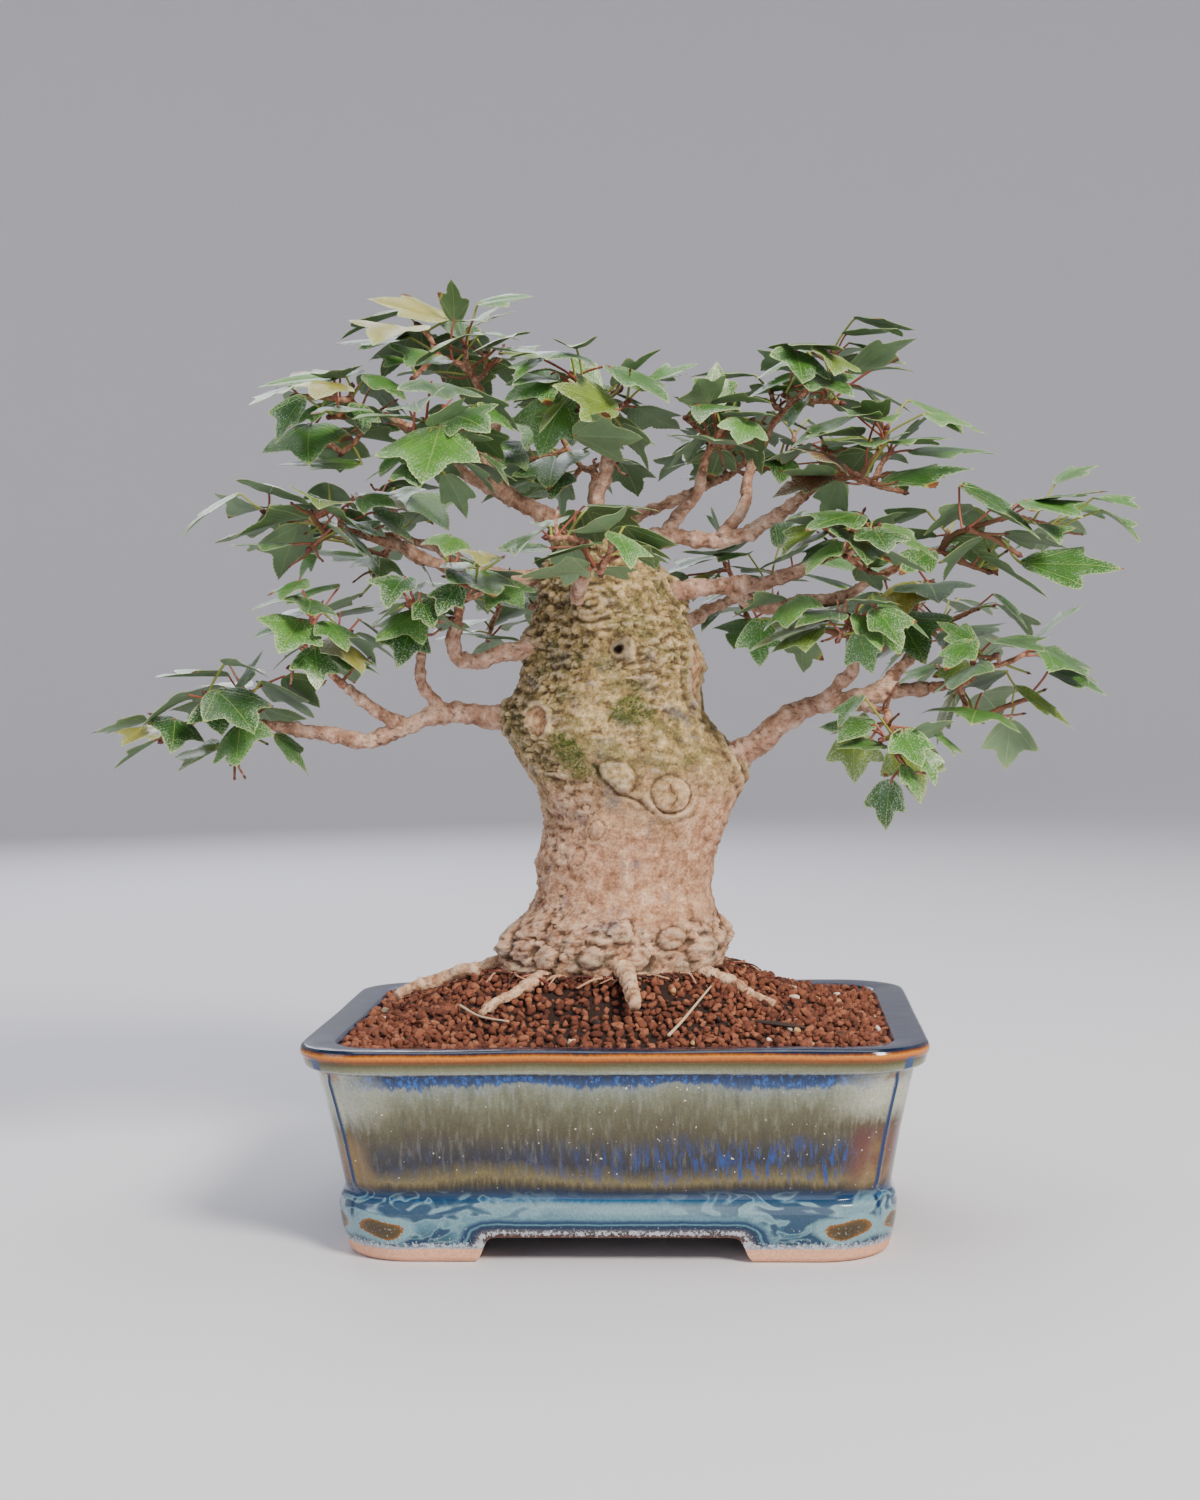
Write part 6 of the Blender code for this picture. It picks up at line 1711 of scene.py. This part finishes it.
def blade(leaf, pattern, rng, body, top, below):
    """Put one leaf blade: the flat pattern bent to its droop, cup, fold, ripple and twist."""
    flat, faces, rim, border = pattern
    x, y = flat[:, 0], flat[:, 1]
    length, axis, up = leaf["length"], leaf["axis"], leaf["up"]
    side = np.cross(axis, up)
    across = np.abs(y) * 2
    lift = leaf["droop"] * np.maximum(x, 0) ** 2.2 * (1 - 0.8 * np.minimum(1, across) ** 2)
    lift += leaf["cup"] * across ** 1.7
    lift += rng.uniform(0.05, 0.16) * np.abs(y) * (1 - 0.5 * x)
    lift -= rng.uniform(0.02, 0.12) * np.maximum(0, np.hypot(x - 0.35, y) - 0.35) ** 1.5
    lift += y * rng.uniform(-0.12, 0.12) * x
    phase = rng.uniform(0, 6.28)
    lift += 0.012 * np.sin(9 * x + phase) * across + 0.008 * np.sin(17 * y + phase) * (1 - rim * 3)
    # The midrib and the veins to the side lobes are sunk.
    lift -= 0.006 * ridge(np.abs(y), LOBE_VEIN * np.maximum(x, 0), 0.025) * (x < 0.6)
    lift -= 0.008 * ridge(y, 0, 0.02) * soft(0.98, 0.8, x)
    side_bend = rng.uniform(-0.07, 0.07) * x ** 2
    sideways = leaf["width"] * y + length * side_bend
    middle = leaf["foot"] + (axis * (length * x)[:, None] + side * sideways[:, None]
                             + up * (length * lift)[:, None])
    half = up * (0.5 * BLADE_THICKNESS * (0.3 + 0.7 * np.minimum(1.0, rim / 0.05)))[:, None]
    a, b = border.T
    wall = np.concatenate([np.column_stack([b, a, a + len(x)]),
                           np.column_stack([b, a + len(x), b + len(x)])])
    burn = np.zeros(len(x))
    if rng.random() < BURNT_SHARE:
        centre = rng.choice(((1.0, 0.0), (1.0, 0.0), (0.585, 0.5), (0.585, -0.5)))
        reach = rng.uniform(0.05, 0.17)
        burn = np.clip(1.2 - np.hypot(x - centre[0], y - centre[1]) / reach, 0, 1)
    rng.random()  # one number is passed over, so that the leaves after it keep their shapes
    values = {"along": x, "across": y, "rim": rim * length, "burn": burn}
    body.put(np.concatenate([middle + half, middle - half]),
             np.concatenate([faces, faces[:, ::-1] + len(x), wall]),
             np.repeat([top, below, top], [len(faces), len(faces), len(wall)]),
             **{name: np.tile(value, 2) for name, value in values.items()})


def leaf_surface(name, colour, margin, vein, roughness, bloom):
    """Maple leaf: paler veins and a thin pale margin, whitish bloom near it, scorched tips."""
    material = new_material(name, colour, roughness)
    add = partial(add_node, material.node_tree)
    place = add("TexCoord", out="Object")
    along, across, rim, burn = (add("Attribute", out="Fac", attribute_name=key)
                                for key in ("along", "across", "rim", "burn"))
    side = add("Math", across, operation="ABSOLUTE")
    mottle = add("TexNoise", place, per_mm(7.0), 4.0, 0.6)
    # The midrib, one main vein to each side lobe, and side veins that leave it at a slant.
    lobe_way = add("Math", add("Math", along, -LOBE_VEIN, side, **TIMES_PLUS), operation="ABSOLUTE")
    slant = add("Math", add("Math", side, -1.15, along, **TIMES_PLUS), 11.0, **TIMES)
    ribs = add("MapRange", side, 0.012, 0.004)
    for band in ((lobe_way, 0.015, 0.005),
                 (add("Math", slant, 0.5, operation="PINGPONG"), 0.07, 0.02, 0.0, 0.5)):
        ribs = add("Math", ribs, add("MapRange", *band), operation="MAXIMUM")
    near = add("Math", add("TexNoise", place, per_mm(16.0), 2.0), 0.12,
               add("MapRange", rim, 5.0, 0.3, 0.0, 0.11), **TIMES_PLUS)
    specks = add("Math", add("TexNoise", place, per_mm(0.55), 3.0, 0.7), near)
    scorch = add("Math", add("TexNoise", place, per_mm(2.0), 3.0), 0.5, burn, **TIMES_PLUS)
    colour = add("Mix", 1.0, colour, add("MapRange", mottle, 0.3, 0.7, 0.82, 1.2), **SHADE)
    colour = paint(
        add, colour,
        (vein, (ribs, 0.0, 1.0, 0.0, 0.55)),
        (margin, (rim, 0.38, 0.12, 0.0, 0.75)),
        ("#b9cbb0", (specks, 0.66, 0.73, 0.0, bloom)),
        ("#b3a54a", (scorch, 0.3, 0.62, 0.0, 0.7)),
        ("#6e4426", (scorch, 0.62, 0.76)))
    # Veins are sunk on the upper side and stand out below.
    puffs = add("Math", ribs, -1.0 if bloom else 1.0, **TIMES)
    relief = add("Math", add("TexNoise", place, per_mm(1.1), 3.0), 0.5, puffs, **TIMES_PLUS)
    return link_surface(material, Base_Color=colour,
                        Normal=add("Bump", 0.5, 0.0002, inputs={"Height": relief}))


def top_colour(leaf, rng):
    """Which colour a leaf's top has: mostly greens, a few yellow, a red-brown group high right."""
    x, _, z = leaf["foot"]
    if 60 < x < 88 and 236 < z < 262 and rng.random() < 0.55:
        return 6
    if rng.random() < (0.07 if x < -40 else 0.03):
        return 5
    return rng.choice(TOP_CHANCES)


def put_stalk(leaf, rng, body):
    """A leaf's stalk: swollen at the twig, slightly bowed, running on under the blade."""
    root, foot = leaf["root"], leaf["foot"]
    run = foot - root
    bow = unit(np.array([rng.uniform(-1, 1), rng.uniform(-1, 1), rng.uniform(-0.2, 1)])) \
        * np.linalg.norm(run) * 0.06
    end = foot + leaf["axis"] * 1.6 - leaf["up"] * 0.15
    fine = smooth_route([root, root + run * 0.35 + bow, root + run * 0.75 + bow * 0.7, foot, end], 1.1)
    share = np.linspace(0, 1, len(fine))
    thick = rng.uniform(0.36, 0.48)
    radii = thick * (1 + 0.8 * np.exp(-share / 0.06)) * (1 - 0.45 * soft(0.85, 1.0, share))
    body.put(*tube(fine, radii, 6), rng.random() < 0.45)


def put_twigs(twigs, shoots, rng, body):
    """The twigs of one mass with their knuckles, its finer shoots, and a bud on each end."""
    for i, (line, thick, thin) in enumerate(twigs):
        if i == 0:
            line = [line[0] - unit(line[1] - line[0]) * 2.5, *line[1:]]
        fine, widths, marks = refine(line, np.linspace(thick, thin, len(line)), 0.7)
        knots = bud_rings(rng, marks, (1.0, 4.0), (2.5, 6.0), (0.12, 0.3), 0.7)
        widths = widths * 0.9 * (1 + knots)
        rings = rings_round(fine, widths, 10)
        relief = 0.16 * lumps(rings, 1.6, 3.0 + i) + 0.1 * lumps(rings, 0.8, 8.0 + i)
        # The twig bark paints shade where the lumps sink, by their crevice value.
        body.put(*tube(fine, widths[:, None] + relief, 10),
                 0 if thick > TWIG_RADIUS * 1.3 or rng.random() < 0.55 else 1,
                 crevice=np.concatenate([np.clip(-relief.ravel() * 6, -1, 1), [0, 0]]))
        if i:
            put_bud(line, thin * 0.9, body)
    for line, thick, thin in shoots:
        body.put(*thin_tube(line, 1.0, thick, thin, 7), rng.choice((0, 1, 1, 2)), crevice=0.0)
        put_bud(line, thin, body)


def put_bud(line, radius, body):
    """A pointed bud at a shoot's end."""
    marks = np.array([-0.5, 0.2, 0.8, 1.5, 2.1])[:, None] * max(0.8, radius * 1.3)
    body.put(*tube(line[-1] + marks * unit(line[-1] - line[-2]),
                   radius * np.array([0.9, 1.25, 1.2, 0.6, 0.08]), 8), 3, crevice=0.0)


def make_crown(shapes):
    """All the twigs, stalks and leaves, in a few joined pieces."""
    crown, grown = grow_crown(shapes)
    pattern_rng = random.Random(77)
    patterns = [leaf_pattern(pattern_rng, spread, bend) for spread, bend in LEAF_FORMS]
    surfaces = [leaf_surface(name, colour, "#a3b569", "#8aa64e", 0.36, 0.55)
                for name, colour in LEAF_TOPS]
    surfaces += [leaf_surface(name, colour, "#8a9a5c", "#8ea070", 0.6, 0.0)
                 for name, colour in LEAF_BELOW]
    groups = {name: (Shapes(), []) for name in ("left", "middle", "right", "back")}
    stalks, twig_body = Shapes(), Shapes()
    for index, (twigs, placed) in enumerate(grown):
        name, _, middle = MASSES[index][:3]
        rng = random.Random(MASSES[index][6] * 29)
        where = "back" if "back" in name else "left" if middle[0] < -45 else \
            "right" if middle[0] > 45 else "middle"
        body, nodes = groups[where]
        nodes.append(f"leaves_{name}")
        for leaf in fill_leaves(index, twigs, placed, crown):
            blade(leaf, rng.choice(patterns), rng, body, top_colour(leaf, rng),
                  len(LEAF_TOPS) + rng.randrange(len(LEAF_BELOW)))
            put_stalk(leaf, rng, stalks)
        put_twigs(twigs, fine_shoots(index, twigs, crown), rng, twig_body)
    for where, (body, nodes) in groups.items():
        place_piece(body.make(f"leaf_blades_{where}", surfaces, sharp_angle=60), "maple_leaves", *nodes)
    tones = [new_material("pink_leaf_stalks", "#93523f", 0.5),
             new_material("green_leaf_stalks", "#8f9440", 0.5)]
    place_piece(stalks.make("leaf_stalks", tones), "maple_leaves")
    tones = [flaking_bark("twig_bark", [(0.3, "#6a4030"), (0.44, "#95644c"), (0.56, "#b5846a"),
                                        (0.7, "#cfae98")], "#3a2219", 1.6),
             new_material("young_brown_bark", "#7a5138", 0.7),
             new_material("green_shoot", "#75813a", 0.5),
             new_material("winter_bud_scales", "#5a2f24", 0.55)]
    place_piece(twig_body.make("twigs", tones), "bough_bark")


make_camera()
make_studio()
make_pot()
make_soil()
make_moss(*make_trunk())
bough_shapes = make_boughs()
make_roots()
make_litter()
make_crown(bough_shapes)
bpy.context.view_layer.update()
